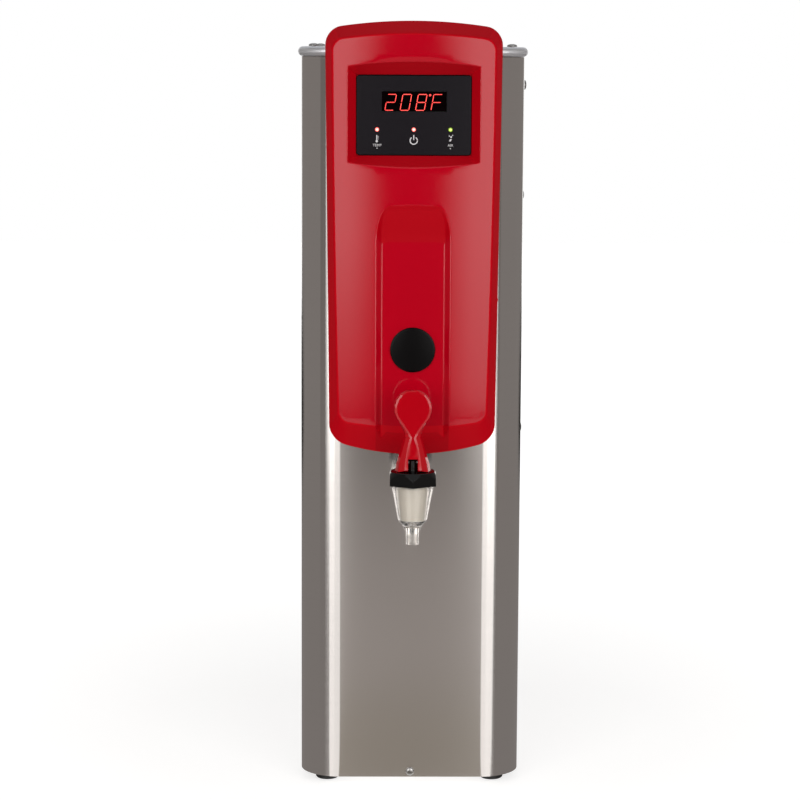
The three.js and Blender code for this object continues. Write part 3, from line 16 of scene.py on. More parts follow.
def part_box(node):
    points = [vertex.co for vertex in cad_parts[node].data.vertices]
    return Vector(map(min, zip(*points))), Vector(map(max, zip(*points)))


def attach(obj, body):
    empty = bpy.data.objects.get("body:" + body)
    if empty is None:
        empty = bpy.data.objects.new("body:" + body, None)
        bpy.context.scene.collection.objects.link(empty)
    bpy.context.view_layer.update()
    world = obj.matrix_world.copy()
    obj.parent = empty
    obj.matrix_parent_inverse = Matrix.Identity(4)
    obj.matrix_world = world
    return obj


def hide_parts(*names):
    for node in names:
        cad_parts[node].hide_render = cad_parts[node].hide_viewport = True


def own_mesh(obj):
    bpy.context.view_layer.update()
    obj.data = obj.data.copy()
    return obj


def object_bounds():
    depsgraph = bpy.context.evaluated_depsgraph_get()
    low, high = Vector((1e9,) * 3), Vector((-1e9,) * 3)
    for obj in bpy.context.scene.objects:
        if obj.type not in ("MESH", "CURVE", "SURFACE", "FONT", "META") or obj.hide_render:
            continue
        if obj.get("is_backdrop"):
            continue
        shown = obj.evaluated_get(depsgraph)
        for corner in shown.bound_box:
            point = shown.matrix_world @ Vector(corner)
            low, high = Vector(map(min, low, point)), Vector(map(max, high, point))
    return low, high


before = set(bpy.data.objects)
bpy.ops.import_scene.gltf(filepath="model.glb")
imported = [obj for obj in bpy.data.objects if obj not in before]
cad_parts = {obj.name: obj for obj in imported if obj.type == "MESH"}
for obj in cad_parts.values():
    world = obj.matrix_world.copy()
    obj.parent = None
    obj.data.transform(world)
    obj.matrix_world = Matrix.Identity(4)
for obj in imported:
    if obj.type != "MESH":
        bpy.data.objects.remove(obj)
cad_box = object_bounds()

MM = 0.001
FRONT_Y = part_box("body_shell")[0].y
CABINET = "cabinet"
STEM = "stem"
HANDLE = "handle"

# Cabinet
HALF_WIDTH = 94
DEPTH = 375
BOTTOM = 8
TOP = 622.7
CORNER = 34
SHEET = 1.2
GAP = 0.3
LID_BOTTOM = 623
LID_TOP = 631
LID_OVERHANG = 2.6
LID_NOSE = 4
FOOT_X = 71.4
FOOT_Y = 27.5

# Front cover outlines
WALL = 2.6
BACK_DEPTH = 16
FACE_DEPTH = 28
CROWN = 2
COVER_BACK = dict(top=652.2, bottom=292.4, top_half=73.2, bottom_half=69.2, top_arch=6.6, bottom_arch=12,
                  corner=13, waist=0)
COVER_FACE = dict(top=641.9, bottom=316, top_half=67.2, bottom_half=61.6, top_arch=5, bottom_arch=5.4,
                  corner=9, waist=1)
EDGE = 1.1

# Display recess, control panel, channel and plug; a zone is where the face can be sunk at all
RECESS_DEPTH = 22
LEDGE_DEPTH = 20.4
PANEL_HALF = 47.7
PANEL_BOTTOM = 542
PANEL_TOP = 608.5
RIM_HALF = 54.6
RIM_TOP = 619.1
RIM_BOTTOM = 532.8
RIM_ARCH = 3.8
WINDOW = dict(half=42, bottom=547.7, top=602.8)
CHANNEL_DEPTH = 24
CHANNEL_HALF = 26.3
CHANNEL_RIM = 30.5
CHANNEL_TOP = 490
CHANNEL_RIM_TOP = 500.4
CHANNEL_CORNER = 8
CHANNEL_FADE = 30
CHANNEL_FOOT = 280
CHANNEL_STRETCH = (CHANNEL_RIM_TOP - CHANNEL_TOP) / (CHANNEL_RIM - CHANNEL_HALF)
PLUG_Z = 381.4
PLUG_HOLE = 15.8
RECESS_ZONE = dict(half=62, bottom=525, top=626)
CHANNEL_ZONE = dict(half=40, top=520)

# The grid of the cover's mesh: its step, lowest row, columns either side, rows, and room to the nearest line
GRID_STEP = 5.0
GRID_FOOT = 291
GRID_COLUMNS = 13
GRID_ROWS = 73
GRID_ROOM = 2.2

# Marks and lamps on the control panel
OVERLAY_FACE = -22.0
LAMP_Z = 563.5
KEY_SPREAD = 30.2
LAMPS = (("temp", -KEY_SPREAD, "lamp_red"), ("power", 0, "lamp_red"), ("air", KEY_SPREAD, "lamp_green"))

# Faucet
FAUCET_Y = -60
SHANK_Z = 253
PIN_Z = 292.8
BONNET_TOP = 285.7
BONNET_BOTTOM = 274.3
BONNET_RADIUS = 21.9
SHANK_HOLE = 8.3
PIN_HOLE = 1.8
SPRING_FOOT = 268.8
SPRING_HEAD = 282.0
FAUCET_AT = (0, FAUCET_Y, 0)
SHANK_AT = (0, FAUCET_Y, SHANK_Z)
PIN_AT = (0, FAUCET_Y, PIN_Z)


def place(x, y, z):
    """A point in millimetres as a point of the frame in metres."""
    return Vector((x * MM, FRONT_Y + y * MM, z * MM))


# Nodes of a material

def ramped(tree, value, start, end, low=0.0, high=1.0):
    """A value that runs from low to high as another runs from start to end."""
    node = tree.nodes.new("ShaderNodeMapRange")
    for key, number in (("From Min", start), ("From Max", end), ("To Min", low), ("To Max", high)):
        node.inputs[key].default_value = number
    tree.links.new(value, node.inputs["Value"])
    return node.outputs["Result"]


def combined(tree, operation, first, second):
    """Two values put together by a Math operation."""
    node = tree.nodes.new("ShaderNodeMath")
    node.operation = operation
    tree.links.new(first, node.inputs[0])
    tree.links.new(second, node.inputs[1])
    return node.outputs[0]


def rgba(r, g, b):
    return (r, g, b, 1.0)


class Shader:
    """A small helper that adds and joins the nodes of one material."""

    def __init__(self, name):
        self.material = bpy.data.materials.new(name)
        self.material.use_nodes = True
        self.tree = self.material.node_tree
        self.tree.nodes.clear()
        self.output = self.tree.nodes.new("ShaderNodeOutputMaterial")
        self.bsdf = self.add("BsdfPrincipled")
        self.join(self.bsdf.outputs[0], self.output.inputs["Surface"])

    def add(self, kind, **settings):
        node = self.tree.nodes.new("ShaderNode" + kind)
        for key, value in settings.items():
            setattr(node, key, value)
        return node

    def join(self, output, socket):
        self.tree.links.new(output, socket)

    def set(self, **values):
        for key, value in values.items():
            self.bsdf.inputs[key.replace("_", " ")].default_value = value

    def noise(self, scale, detail=4.0, roughness=0.6):
        """Noise in object coordinates, stretched by a scale along each axis, in cycles a metre."""
        mapping = self.add("Mapping")
        mapping.inputs["Scale"].default_value = scale
        self.join(self.add("TexCoord").outputs["Object"], mapping.inputs["Vector"])
        node = self.add("TexNoise")
        node.inputs["Scale"].default_value = 1.0
        node.inputs["Detail"].default_value = detail
        node.inputs["Roughness"].default_value = roughness
        self.join(mapping.outputs["Vector"], node.inputs["Vector"])
        return node.outputs["Fac"]

    def ramp(self, factor, low, high, start=0.3, end=0.7):
        """A colour that runs from low to high as the factor runs from start to end."""
        node = self.add("ValToRGB")
        for element, position, colour in zip(node.color_ramp.elements, (start, end), (low, high)):
            element.position = position
            element.color = rgba(*colour)
        self.join(factor, node.inputs["Fac"])
        return node.outputs["Color"]

    def value_ramp(self, factor, low, high, start=0.3, end=0.7):
        return ramped(self.tree, factor, start, end, low, high)

    def distance(self, point):
        """How far the surface lies from a point of the frame, in metres."""
        away = self.add("VectorMath", operation="DISTANCE")
        self.join(self.add("NewGeometry").outputs["Position"], away.inputs[0])
        away.inputs[1].default_value = tuple(point)
        return away.outputs["Value"]

    def paint(self, factor, shade, colour):
        self.join(self.ramp(factor, shade, colour), self.bsdf.inputs["Base Color"])

    def roughen(self, factor, low, high):
        self.join(self.value_ramp(factor, low, high), self.bsdf.inputs["Roughness"])

    def bump(self, height, distance, strength):
        """Gives the surface fine relief, which completes its material."""
        node = self.add("Bump")
        node.inputs["Distance"].default_value = distance
        node.inputs["Strength"].default_value = strength
        self.join(height, node.inputs["Height"])
        self.join(node.outputs["Normal"], self.bsdf.inputs["Normal"])
        return self.material


def darkened(colour, share):
    return tuple(c * share for c in colour)


def brushed_steel(name, colour, roughness, grain_scale=(2.5, 2.5, 2600.0), axis="Z"):
    """Stainless sheet whose grain runs level round an axis, so that reflections smear across the grain."""
    cloud_scale, swing = (3.0, 3.0, 5.0), 0.015
    shader = Shader(name)
    shader.set(Metallic=1.0, Anisotropic=1.0, Anisotropic_Rotation=0.25)
    tangent = shader.add("Tangent", direction_type="RADIAL", axis=axis)
    shader.join(tangent.outputs[0], shader.bsdf.inputs["Tangent"])
    grain = shader.noise(grain_scale, 5.0, 0.65)
    cloud = shader.noise(cloud_scale, 2.0, 0.5)
    shader.paint(grain, darkened(colour, 0.965), colour)
    rough = combined(shader.tree, "ADD", shader.value_ramp(grain, roughness - swing, roughness + swing),
                     shader.value_ramp(cloud, -swing, swing))
    shader.join(rough, shader.bsdf.inputs["Roughness"])
    return shader.bump(grain, 0.000004, 0.2)


def moulded_plastic(name, colour, shade, roughness, grain=900.0, depth=0.00002, gloss=0.5):
    """Moulded plastic with a fine skin texture and slight changes of tone."""
    tone_scale = (9.0, 9.0, 9.0)
    shader = Shader(name)
    shader.set(IOR=1.49, Specular_IOR_Level=gloss)
    shader.paint(shader.noise(tone_scale, 2.0, 0.5), shade, colour)
    skin = shader.noise((grain, grain, grain), 3.0, 0.6)
    shader.roughen(skin, roughness * 0.8, roughness * 1.25)
    return shader.bump(skin, depth, 0.5)


def plain_metal(name, colour, roughness):
    """Cast or machined metal with a soft mottling."""
    mottle_scale = (160.0, 160.0, 160.0)
    shader = Shader(name)
    shader.set(Metallic=1.0)
    mottle = shader.noise(mottle_scale)
    shader.paint(mottle, darkened(colour, 0.85), colour)
    shader.roughen(mottle, roughness - 0.05, roughness + 0.06)
    return shader.bump(mottle, 0.00003, 0.4)


def glowing(name, edge, core, strength, centre, reach):
    """Lit plastic, brightest at a point in millimetres and falling off within a reach in metres."""
    shader = Shader(name)
    shader.set(Roughness=0.35, Emission_Strength=strength)
    fade = shader.value_ramp(shader.distance(place(*centre)), 0.0, 1.0, 0.2 * reach, reach)
    colour = shader.ramp(fade, core, edge, 0.0, 1.0)
    for socket in ("Base Color", "Emission Color"):
        shader.join(colour, shader.bsdf.inputs[socket])
    return shader.material


def clear_plastic(name, colour, roughness):
    """Clear moulded plastic with faint streaks that run up and down."""
    streak_scale = (420.0, 420.0, 12.0)
    shader = Shader(name)
    shader.set(IOR=1.5, Transmission_Weight=1.0)
    shader.bsdf.inputs["Base Color"].default_value = rgba(*colour)
    streak = shader.noise(streak_scale, 3.0, 0.6)
    shader.roughen(streak, roughness * 0.6, roughness * 1.4)
    return shader.bump(streak, 0.00001, 0.3)


# Painted shade: copies of the cover's red, darker for sides that face up and for the recess walls, in place
# of their lesser light
PAINTED_SHADE_REDS = (0.61, 0.56, 0.51, 0.46, 0.41)
TILT_STEP = 0.17


def shaded_cover_reds():
    """Matt copies of the cover's red with painted shade: the more a side faces up, the darker its red, in
    place of the lesser light it gets.
    """
    return [moulded_plastic(f"cover_side_{i}", (red, 0.0003, red * 0.015), (red * 0.96, 0.0002, red * 0.013),
                            0.4, 650.0, 0.00001, 0.05) for i, red in enumerate(PAINTED_SHADE_REDS)]


# Each plastic's name, colour, shade and roughness, then the skin's grain in cycles a metre, its depth in
# metres and the gloss
PLASTICS = {
    "rubber": ("foot_rubber", (0.018, 0.018, 0.018), (0.012, 0.012, 0.012), 0.62, 500.0),
    "cover": ("cover_red", (0.54, 0.0003, 0.0125), (0.52, 0.0002, 0.0115), 0.085, 600.0, 0.000011, 0.5),
    "handle": ("handle_red", (0.53, 0.0006, 0.008), (0.5, 0.0005, 0.007), 0.08, 400.0, 0.000004, 0.5),
    "overlay": ("overlay_black", (0.0075, 0.0055, 0.0085), (0.0065, 0.005, 0.0075), 0.2, 1600.0, 8e-6, 0.2),
    "lens": ("lens_dark", (0.002, 0.0004, 0.0006), (0.0015, 0.0003, 0.0005), 0.1, 300.0, 0.000003, 0.1),
    "black": ("black_plastic", (0.004, 0.004, 0.0035), (0.003, 0.003, 0.003), 0.24, 500.0, 0.00002, 0.3),
    "bonnet": ("bonnet_black", (0.003, 0.003, 0.003), (0.002, 0.002, 0.002), 0.09, 300.0, 0.000005, 0.42),
    "plug": ("plug_black", (0.0035, 0.003, 0.0032), (0.003, 0.0026, 0.0028), 0.22, 1200.0, 0.00001, 0.08),
    "print": ("label_white", (0.75, 0.74, 0.76), (0.66, 0.66, 0.68), 0.5, 1600.0),
    "board": ("board_green", (0.03, 0.12, 0.05), (0.02, 0.09, 0.035), 0.4, 300.0),
    "silicone": ("silicone", (0.72, 0.69, 0.64), (0.62, 0.6, 0.55), 0.45, 300.0),
    "bell": ("bell_white", (0.69, 0.65, 0.575), (0.61, 0.565, 0.5), 0.2, 120.0, 0.00001),
    "foam": ("foam", (0.5, 0.46, 0.36), (0.38, 0.35, 0.27), 0.9, 120.0, 0.0004),
    "module": ("module_dark", (0.02, 0.003, 0.003), (0.012, 0.002, 0.002), 0.4, 300.0),
}

# Each lit plastic's name, edge, core, strength, centre and reach
RED_LAMP = ((0.55, 0.02, 0.02), (1.0, 0.6, 0.5), 1.5)
GREEN_LAMP = ((0.12, 0.2, 0.01), (0.75, 1.0, 0.2), 1.2)
LAMP_CORE = OVERLAY_FACE - 0.4
LIT_PLASTICS = {
    "digit": ("digit_red", (0.7, 0.012, 0.01), (1.0, 0.07, 0.055), 0.9, (0, -21, 586), 0.04),
    "lamp_temp": ("lamp_temp", *RED_LAMP, (-KEY_SPREAD, LAMP_CORE, LAMP_Z), 0.0017),
    "lamp_power": ("lamp_power", *RED_LAMP, (0, LAMP_CORE, LAMP_Z), 0.0017),
    "lamp_air": ("lamp_air", *GREEN_LAMP, (KEY_SPREAD, LAMP_CORE, LAMP_Z), 0.0015),
}


def make_materials():
    """Every finish, by name."""
    return {
        "cabinet": brushed_steel("cabinet_steel", (0.8, 0.763, 0.738), 0.16),
        "lid": brushed_steel("lid_steel", (0.86, 0.87, 0.9), 0.3, (6.0, 900.0, 900.0), "Y"),
        "inner_steel": plain_metal("inner_steel", (0.6, 0.59, 0.57), 0.32),
        "screw": plain_metal("screw_steel", (0.45, 0.44, 0.43), 0.28),
        "brass": plain_metal("brass", (0.62, 0.44, 0.18), 0.3),
        "clear": clear_plastic("faucet_clear", (0.97, 0.96, 0.94), 0.16),
        **{key: moulded_plastic(*row) for key, row in PLASTICS.items()},
        **{key: glowing(*row) for key, row in LIT_PLASTICS.items()},
    }


MATERIALS = make_materials()


# Building meshes

def linked(data, name="blank"):
    obj = bpy.data.objects.new(name, data)
    bpy.context.collection.objects.link(obj)
    return obj


def mesh_of(obj):
    """The mesh of an object with its modifiers applied."""
    return bpy.data.meshes.new_from_object(obj.evaluated_get(bpy.context.evaluated_depsgraph_get()))


def meshed(shape, name="blank", dissolve=False):
    """A mesh of points in millimetres and faces, with its double points joined and its normals outward."""
    points, faces = shape
    mesh = bpy.data.meshes.new(name)
    mesh.from_pydata([place(*point) for point in points], [], faces)
    work = bmesh.new()
    work.from_mesh(mesh)
    bmesh.ops.remove_doubles(work, verts=work.verts, dist=1e-7)
    if dissolve:
        bmesh.ops.dissolve_degenerate(work, edges=work.edges, dist=1e-7)
    bmesh.ops.recalc_face_normals(work, faces=work.faces)
    work.to_mesh(mesh)
    work.free()
    return mesh


def settle(name, mesh, finish, slot, replaces=(), sharp=35, body=CABINET):
    """An object of a mesh, with its finish, riding on a body and standing for the nodes that it replaces."""
    mesh.shade_smooth()
    mesh.set_sharp_from_angle(angle=math.radians(sharp))
    mesh.materials.clear()
    mesh.materials.append(MATERIALS[finish])
    obj = linked(mesh, name)
    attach(obj, body)
    if replaces:
        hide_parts(*replaces)
    return obj


def piece(name, shape, finish, slot, replaces=(), body=CABINET):
    """An object made straight from points and faces."""
    return settle(name, meshed(shape, name, True), finish, slot, replaces, body=body)


def loose(shape):
    """A cutter or a blank that isn't kept in the scene."""
    return linked(meshed(shape))


def baked(obj, cutters=(), operation="DIFFERENCE", bevel=0.0, bevel_angle=25.0):
    """The mesh of a blank after it is cut and its edges are eased; the blank and its cutters go."""
    for cutter in cutters:
        boolean = obj.modifiers.new("cut", "BOOLEAN")
        boolean.object = cutter
        boolean.operation = operation
        boolean.solver = "EXACT"
    if bevel:
        ease = obj.modifiers.new("ease", "BEVEL")
        ease.width = bevel * MM
        ease.segments = 3
        ease.limit_method = "ANGLE"
        ease.angle_limit = math.radians(bevel_angle)
        ease.harden_normals = False
    mesh = mesh_of(obj)
    for spent in (obj, *cutters):
        bpy.data.objects.remove(spent)
    return mesh


def weighted(obj):
    """Shades an eased solid so that its flats stay flat and only its eased edges turn the light."""
    shading = obj.modifiers.new("flats", "WEIGHTED_NORMAL")
    shading.keep_sharp = True
    mesh = mesh_of(obj)
    obj.modifiers.clear()
    obj.data = mesh
    return obj


def mixed(a, b, share):
    return a + (b - a) * share


def curved(a, b, c, steps):
    """Points of a curve that leaves a towards b and comes to c from there."""
    shares = [i / steps for i in range(steps + 1)]
    return [(1 - t) ** 2 * a + 2 * t * (1 - t) * b + t ** 2 * c for t in shares]


def arc(x, y, radius, start, end, steps):
    """Points on a round corner; angles in degrees."""
    turns = [math.radians(start + (end - start) * i / steps) for i in range(steps + 1)]
    return [(x + radius * math.cos(turn), y + radius * math.sin(turn)) for turn in turns]


def circle(x, y, radius, steps, start=0):
    return arc(x, y, radius, start, start + 360, steps)[:-1]


def softened(profile, radius, steps=3):
    """A profile whose inner corners are eased with small curves."""
    out = [profile[0]]
    for before, corner, after in zip(profile, profile[1:], profile[2:]):
        a, b, c = Vector(before), Vector(corner), Vector(after)
        reach = min(radius, (a - b).length * 0.45, (c - b).length * 0.45)
        if reach < 1e-4 * radius:
            out.append(corner)
            continue
        start, end = (b + (far - b).normalized() * reach for far in (a, c))
        out += [tuple(point) for point in curved(start, b, end, steps)]
    return out + [profile[-1]]


def directed(at, axis, u, v, w):
    """The point that lies u and v across an axis and w along it, from a point of the axis."""
    local = {"z": (u, v, w), "-y": (u, -w, v), "y": (-u, w, v), "x": (w, u, v)}[axis]
    return tuple(a + b for a, b in zip(at, local))


def turned(profile, at=(0, 0, 0), axis="z", segments=64):
    """Points and faces of a profile of (radius, height) turned about an axis through a point."""
    turns = [2 * math.pi * i / segments for i in range(segments)]
    points = [directed(at, axis, radius * math.cos(turn), radius * math.sin(turn), height)
              for radius, height in profile for turn in turns]
    return points, ring_faces(len(profile), segments)


def ring_faces(rings, count):
    """The faces between rings of points that follow one another."""
    return [(start + i, start + (i + 1) % count, start + count + (i + 1) % count, start + count + i)
            for start in range(0, (rings - 1) * count, count) for i in range(count)]


def lofted(rings):
    """Points and faces through rings with the same number of points, closed at both ends."""
    count = len(rings[0])
    points = [point for ring in rings for point in ring]
    ends = [tuple(range(count)), tuple(range(len(points) - count, len(points)))]
    return points, ends + ring_faces(len(rings), count)


def prism(section, start, end, along="z"):
    """A section in two axes drawn along the third."""
    order = {"z": (0, 1, 2), "x": (2, 0, 1), "y": (0, 2, 1)}[along]
    return lofted([[tuple((u, v, w)[k] for k in order) for u, v in section] for w in (start, end)])


def drill(radius, start, end, at, axis, segments=64):
    """A round cutter along an axis through a point."""
    return loose(turned([(0, start), (radius, start), (radius, end), (0, end)], at, axis, segments))


# Cabinet

def body_wrap():
    """The wrapped sheet: left wall, both round corners, front and the joggled flange on the right."""
    joggle, steps = SHEET + GAP, 28
    rear_flange, flange_start, flange_end = -80, 40, 78
    outer = [(rear_flange, DEPTH - joggle), (-HALF_WIDTH, DEPTH - joggle)]
    outer += arc(CORNER - HALF_WIDTH, CORNER, CORNER, 180, 270, steps)
    outer += arc(HALF_WIDTH - CORNER, CORNER, CORNER, 270, 360, steps)
    outer += [(HALF_WIDTH, flange_start), (HALF_WIDTH - joggle, flange_start + joggle)]
    outer += [(HALF_WIDTH - joggle, flange_end)]
    left = lambda way: Vector((-way.y, way.x))
    ways = [(Vector(b) - Vector(a)).normalized() for a, b in zip(outer, outer[1:])]
    inner = []
    for point, before, after in zip(outer, ways[:1] + ways, ways + ways[-1:]):
        normal = (left(before) + left(after)).normalized()
        inner.append(tuple(Vector(point) + normal * SHEET / normal.dot(left(before))))
    blank = loose(prism(outer + inner[::-1], BOTTOM, TOP))
    mesh = baked(blank, [drill(SHANK_HOLE, -6, 6, (0, 0, SHANK_Z), "y")])
    settle("cabinet_wrap", mesh, "cabinet", "cabinet_steel", ["body_shell"], 30)


def top_lid():
    """A lid with a bullnose edge all round and an open pocket under it."""
    left, right = -HALF_WIDTH - LID_OVERHANG, HALF_WIDTH + LID_OVERHANG
    front, back = -LID_OVERHANG, DEPTH + LID_OVERHANG
    near, far, near_steps, far_steps, nose_steps = CORNER + LID_OVERHANG, 8, 24, 8, 8
    top_inset, pocket_inset, roof = 9, 6, 1.4

    def outline(inset, z):
        r, s = near - inset, max(far - inset, 0.5)
        flat = arc(left + near, front + near, r, 180, 270, near_steps)
        flat += arc(right - near, front + near, r, 270, 360, near_steps)
        flat += arc(right - inset - s, back - inset - s, s, 0, 90, far_steps)
        flat += arc(left + inset + s, back - inset - s, s, 90, 180, far_steps)
        return [(x, y, z) for x, y in flat]

    rings = []
    for i in range(nose_steps + 1):
        turn = math.pi * i / nose_steps
        z = (LID_BOTTOM + LID_TOP) / 2 - (LID_TOP - LID_BOTTOM) / 2 * math.cos(turn)
        rings.append(outline(LID_NOSE * (1 - math.sin(turn)), z))
    rings.append(outline(top_inset, LID_TOP))
    pocket = loose(lofted([outline(pocket_inset, LID_BOTTOM - 4), outline(pocket_inset, LID_TOP - roof)]))
    settle("lid_bullnose", baked(loose(lofted(rings)), [pocket]), "lid", "lid_steel", ["top_lid"], 40)


def rubber_feet():
    profile = softened([(0, 0), (8.8, 0), (10, 1.2), (10, 8), (3, 8), (3, 12), (0, 12)], 0.5)
    for end, y in (("front", FOOT_Y), ("rear", DEPTH - FOOT_Y)):
        for side, x in (("left", -FOOT_X), ("right", FOOT_X)):
            piece(f"foot_pad_{end}_{side}", turned(profile, (x, y, 0)), "rubber", "foot_rubber",
                  [f"foot_{end}_{side}"])


# Each kind of screw: its axis, the head's radius and height, the shank's radius and length
LID_SCREW = ("z", 4.3, 2.4, 2, 12.3)
SIDE_SCREW = ("x", 4.1, 2.2, 2, 3.9)
FRONT_SCREW = ("-y", 3.6, 1.9, 1.6, 6)
BACK_SCREW = ("y", 3.6, 1.9, 1.6, 6)


def screw(name, node, at, axis, head, height, shank, length):
    """A domed screw with a cross recess; at is the point on the axis where the head seats."""
    dome = [(head * math.cos(t), height * (0.3 + 0.7 * math.sin(t)))
            for t in (math.radians(18 * i) for i in range(6))]
    profile = [(0, -length), (shank, -length), (shank, 0), (head * 0.96, 0), (head, height * 0.12), *dome]
    blank = loose(turned(profile, at, axis, 40))
    arm, bar, deep = head * 0.52, head * 0.13, height * 0.45
    cutters = []
    for a, b in ((arm, bar), (bar, arm)):
        cutters.append(loose(lofted([
            [directed(at, axis, a * across * share, b * up * share, level)
             for across, up in ((-1, -1), (1, -1), (1, 1), (-1, 1))]
            for level, share in ((height - deep, 0.45), (height * 2, 1.6))])))
    settle(name, baked(blank, cutters), "screw", "screw_steel", [node], 32)


def all_screws():
    """The screws of the lid, the service panel, the base and the rear panel."""
    for end, y in (("front", 38), ("rear", 340)):
        for side, x in (("left", -83.5), ("right", 83.5)):
            spot = f"{end}_{side}"
            screw(f"lid_fixing_{spot}", f"lid_screw_{spot}", (x, y, LID_TOP + GAP), *LID_SCREW)
    for spot, y, z in (("top", 46.5, 599.5), ("middle", 62, 505.6), ("bottom", 62, 304.1)):
        screw(f"side_fixing_{spot}", f"service_screw_{spot}", (HALF_WIDTH + GAP, y, z), *SIDE_SCREW)
    screw("front_fixing", "base_screw_front", (0, -GAP, 12.9), *FRONT_SCREW)
    for spot, z in (("bottom", 60), ("top", 580)):
        screw(f"back_fixing_{spot}", f"rear_screw_{spot}", (-87, DEPTH + GAP, z), *BACK_SCREW)


# Front cover

def cover_ring(o, depth_at, grow=0.0):
    """An outline of the cover, anticlockwise from the front, as (x, y, z) with y from depth_at(x)."""
    arch, bend, side = 22, 8, 30
    top, bottom = o["top"] + grow, o["bottom"] - grow
    top_half, bottom_half, corner = o["top_half"] + grow, o["bottom_half"] + grow, o["corner"] + grow

    def half_at(z):
        share = (top - z) / (top - bottom)
        return mixed(top_half, bottom_half, share) + 4 * o["waist"] * share * (1 - share)

    bottom_at = lambda x: bottom + o["bottom_arch"] * (x / bottom_half) ** 2
    top_at = lambda x: top - o["top_arch"] * (x / top_half) ** 2
    low, high = bottom_at(bottom_half) + corner, top_at(top_half) - corner
    bottom_x, top_x = bottom_half - corner, top_half - corner

    def rounded(*knots):
        out = []
        for t in (i / bend for i in range(1, bend)):
            pulls = ((1 - t) ** 2, math.sqrt(2) * t * (1 - t), t ** 2)
            out.append(tuple(sum(s * knot[k] for s, knot in zip(pulls, knots)) / sum(pulls) for k in (0, 1)))
        return out

    low_half, high_half = half_at(low), half_at(high)
    right = rounded((bottom_x, bottom_at(bottom_x)), (low_half, bottom_at(bottom_half)), (low_half, low))
    right += [(half_at(z), z) for z in (mixed(low, high, i / side) for i in range(side + 1))]
    right += rounded((high_half, high), (high_half, top_at(top_half)), (top_x, top_at(top_x)))
    across = [i / arch for i in range(-arch, arch + 1)]
    flat = [(x * bottom_x, bottom_at(x * bottom_x)) for x in across] + right
    flat += [(-x * top_x, top_at(x * top_x)) for x in across] + [(-x, z) for x, z in reversed(right)]
    return [(x, -depth_at(x), z) for x, z in flat]


def face_depth(x):
    return FACE_DEPTH + CROWN * (1 - (x / COVER_FACE["top_half"]) ** 2)


def cover_rings():
    """Rings from the cover's back edge over its bevel and eased edge to just inside its face."""
    outlines = (cover_ring(COVER_BACK, lambda x: BACK_DEPTH), cover_ring(COVER_FACE, face_depth),
                cover_ring(COVER_FACE, face_depth, -EDGE))
    back, edge, inner = ([Vector(point) for point in outline] for outline in outlines)
    ease = [b + (a - b).normalized() * EDGE * 1.3 for a, b in zip(back, edge)]
    bevel = [[tuple(mixed(a, b, share)) for a, b in zip(back, ease)] for share in (0.3, 0.6, 0.85)]
    eased = zip(*(curved(a, b, c, 4) for a, b, c in zip(ease, edge, inner)))
    return [outlines[0], *bevel, *([tuple(point) for point in ring] for ring in eased)]


def smooth_min(a, b, reach):
    overlap = max(reach - abs(a - b), 0) / reach
    return min(a, b) - overlap * overlap * reach / 4


def rim_top(x):
    return RIM_TOP - RIM_ARCH * (x / RIM_HALF) ** 2


def rim_bottom(x):
    return RIM_BOTTOM + RIM_ARCH * (x / RIM_HALF) ** 2


WALL_SHARE = -1e-4


def recess_share(x, z):
    """0 at the panel's edge and 1 at the recess's rim, for a point of its sloping walls."""
    across = (abs(x) - PANEL_HALF) / (RIM_HALF - PANEL_HALF)
    share = across
    for _ in range(3):
        out = min(abs(x) * RIM_HALF / mixed(PANEL_HALF, RIM_HALF, max(share, 0)), RIM_HALF)
        over = (z - PANEL_TOP) / (rim_top(out) - PANEL_TOP)
        under = (PANEL_BOTTOM - z) / (PANEL_BOTTOM - rim_bottom(out))
        share = max(across, over, under)
    return share


def recess_surface(share):
    """The depth of the recess's walls, or of the ledge behind the panel."""
    return RECESS_DEPTH + (face_depth(0) - 1 - RECESS_DEPTH) * share if share > WALL_SHARE else LEDGE_DEPTH


def channel_surface(x, z):
    """The channel's depth: a floor that rises to the face at the top, and sloping walls."""
    rise, blend = 0.8, 0.8
    u = max(abs(x) - (CHANNEL_HALF - CHANNEL_CORNER), 0)
    v = max((z - CHANNEL_TOP) / CHANNEL_STRETCH + CHANNEL_CORNER, 0)
    out = math.hypot(u, v) - CHANNEL_CORNER
    fade = min(max((z - (CHANNEL_RIM_TOP - CHANNEL_FADE)) / CHANNEL_FADE, 0), 1)
    floor = CHANNEL_DEPTH + (face_depth(0) - CHANNEL_DEPTH) * fade * fade * (3 - 2 * fade) * rise
    slope = (face_depth(CHANNEL_RIM) - CHANNEL_DEPTH) / (CHANNEL_RIM - CHANNEL_HALF)
    return -smooth_min(-floor, -(CHANNEL_DEPTH + slope * out), blend)


def inside(x, z, polygon):
    hit = False
    for (x0, z0), (x1, z1) in zip(polygon, polygon[1:] + polygon[:1]):
        if (z0 > z) != (z1 > z) and x < (x1 - x0) * (z - z0) / (z1 - z0) + x0:
            hit = not hit
    return hit


def back_edge(z):
    """How far back the cover's rim reaches: to the panel, to the lid's edge, or over the lid."""
    if z < TOP - 0.05:
        return -GAP
    return -LID_OVERHANG - GAP if z < LID_TOP + GAP + 0.05 else 3


def rectangle_ring(half, low_at, high_at, step=5.0):
    """A ring with straight sides and a curved top and bottom, as (x, z)."""
    across = max(int(2 * half / step), 2)
    xs = [-half + 2 * half * i / across for i in range(across + 1)]
    low, high = low_at(half), high_at(half)
    up = max(int((high - low) / step), 2)
    zs = [low + (high - low) * i / up for i in range(1, up)]
    ring = [(x, low_at(x)) for x in xs] + [(half, z) for z in zs]
    return ring + [(x, high_at(x)) for x in reversed(xs)] + [(-half, z) for z in reversed(zs)]


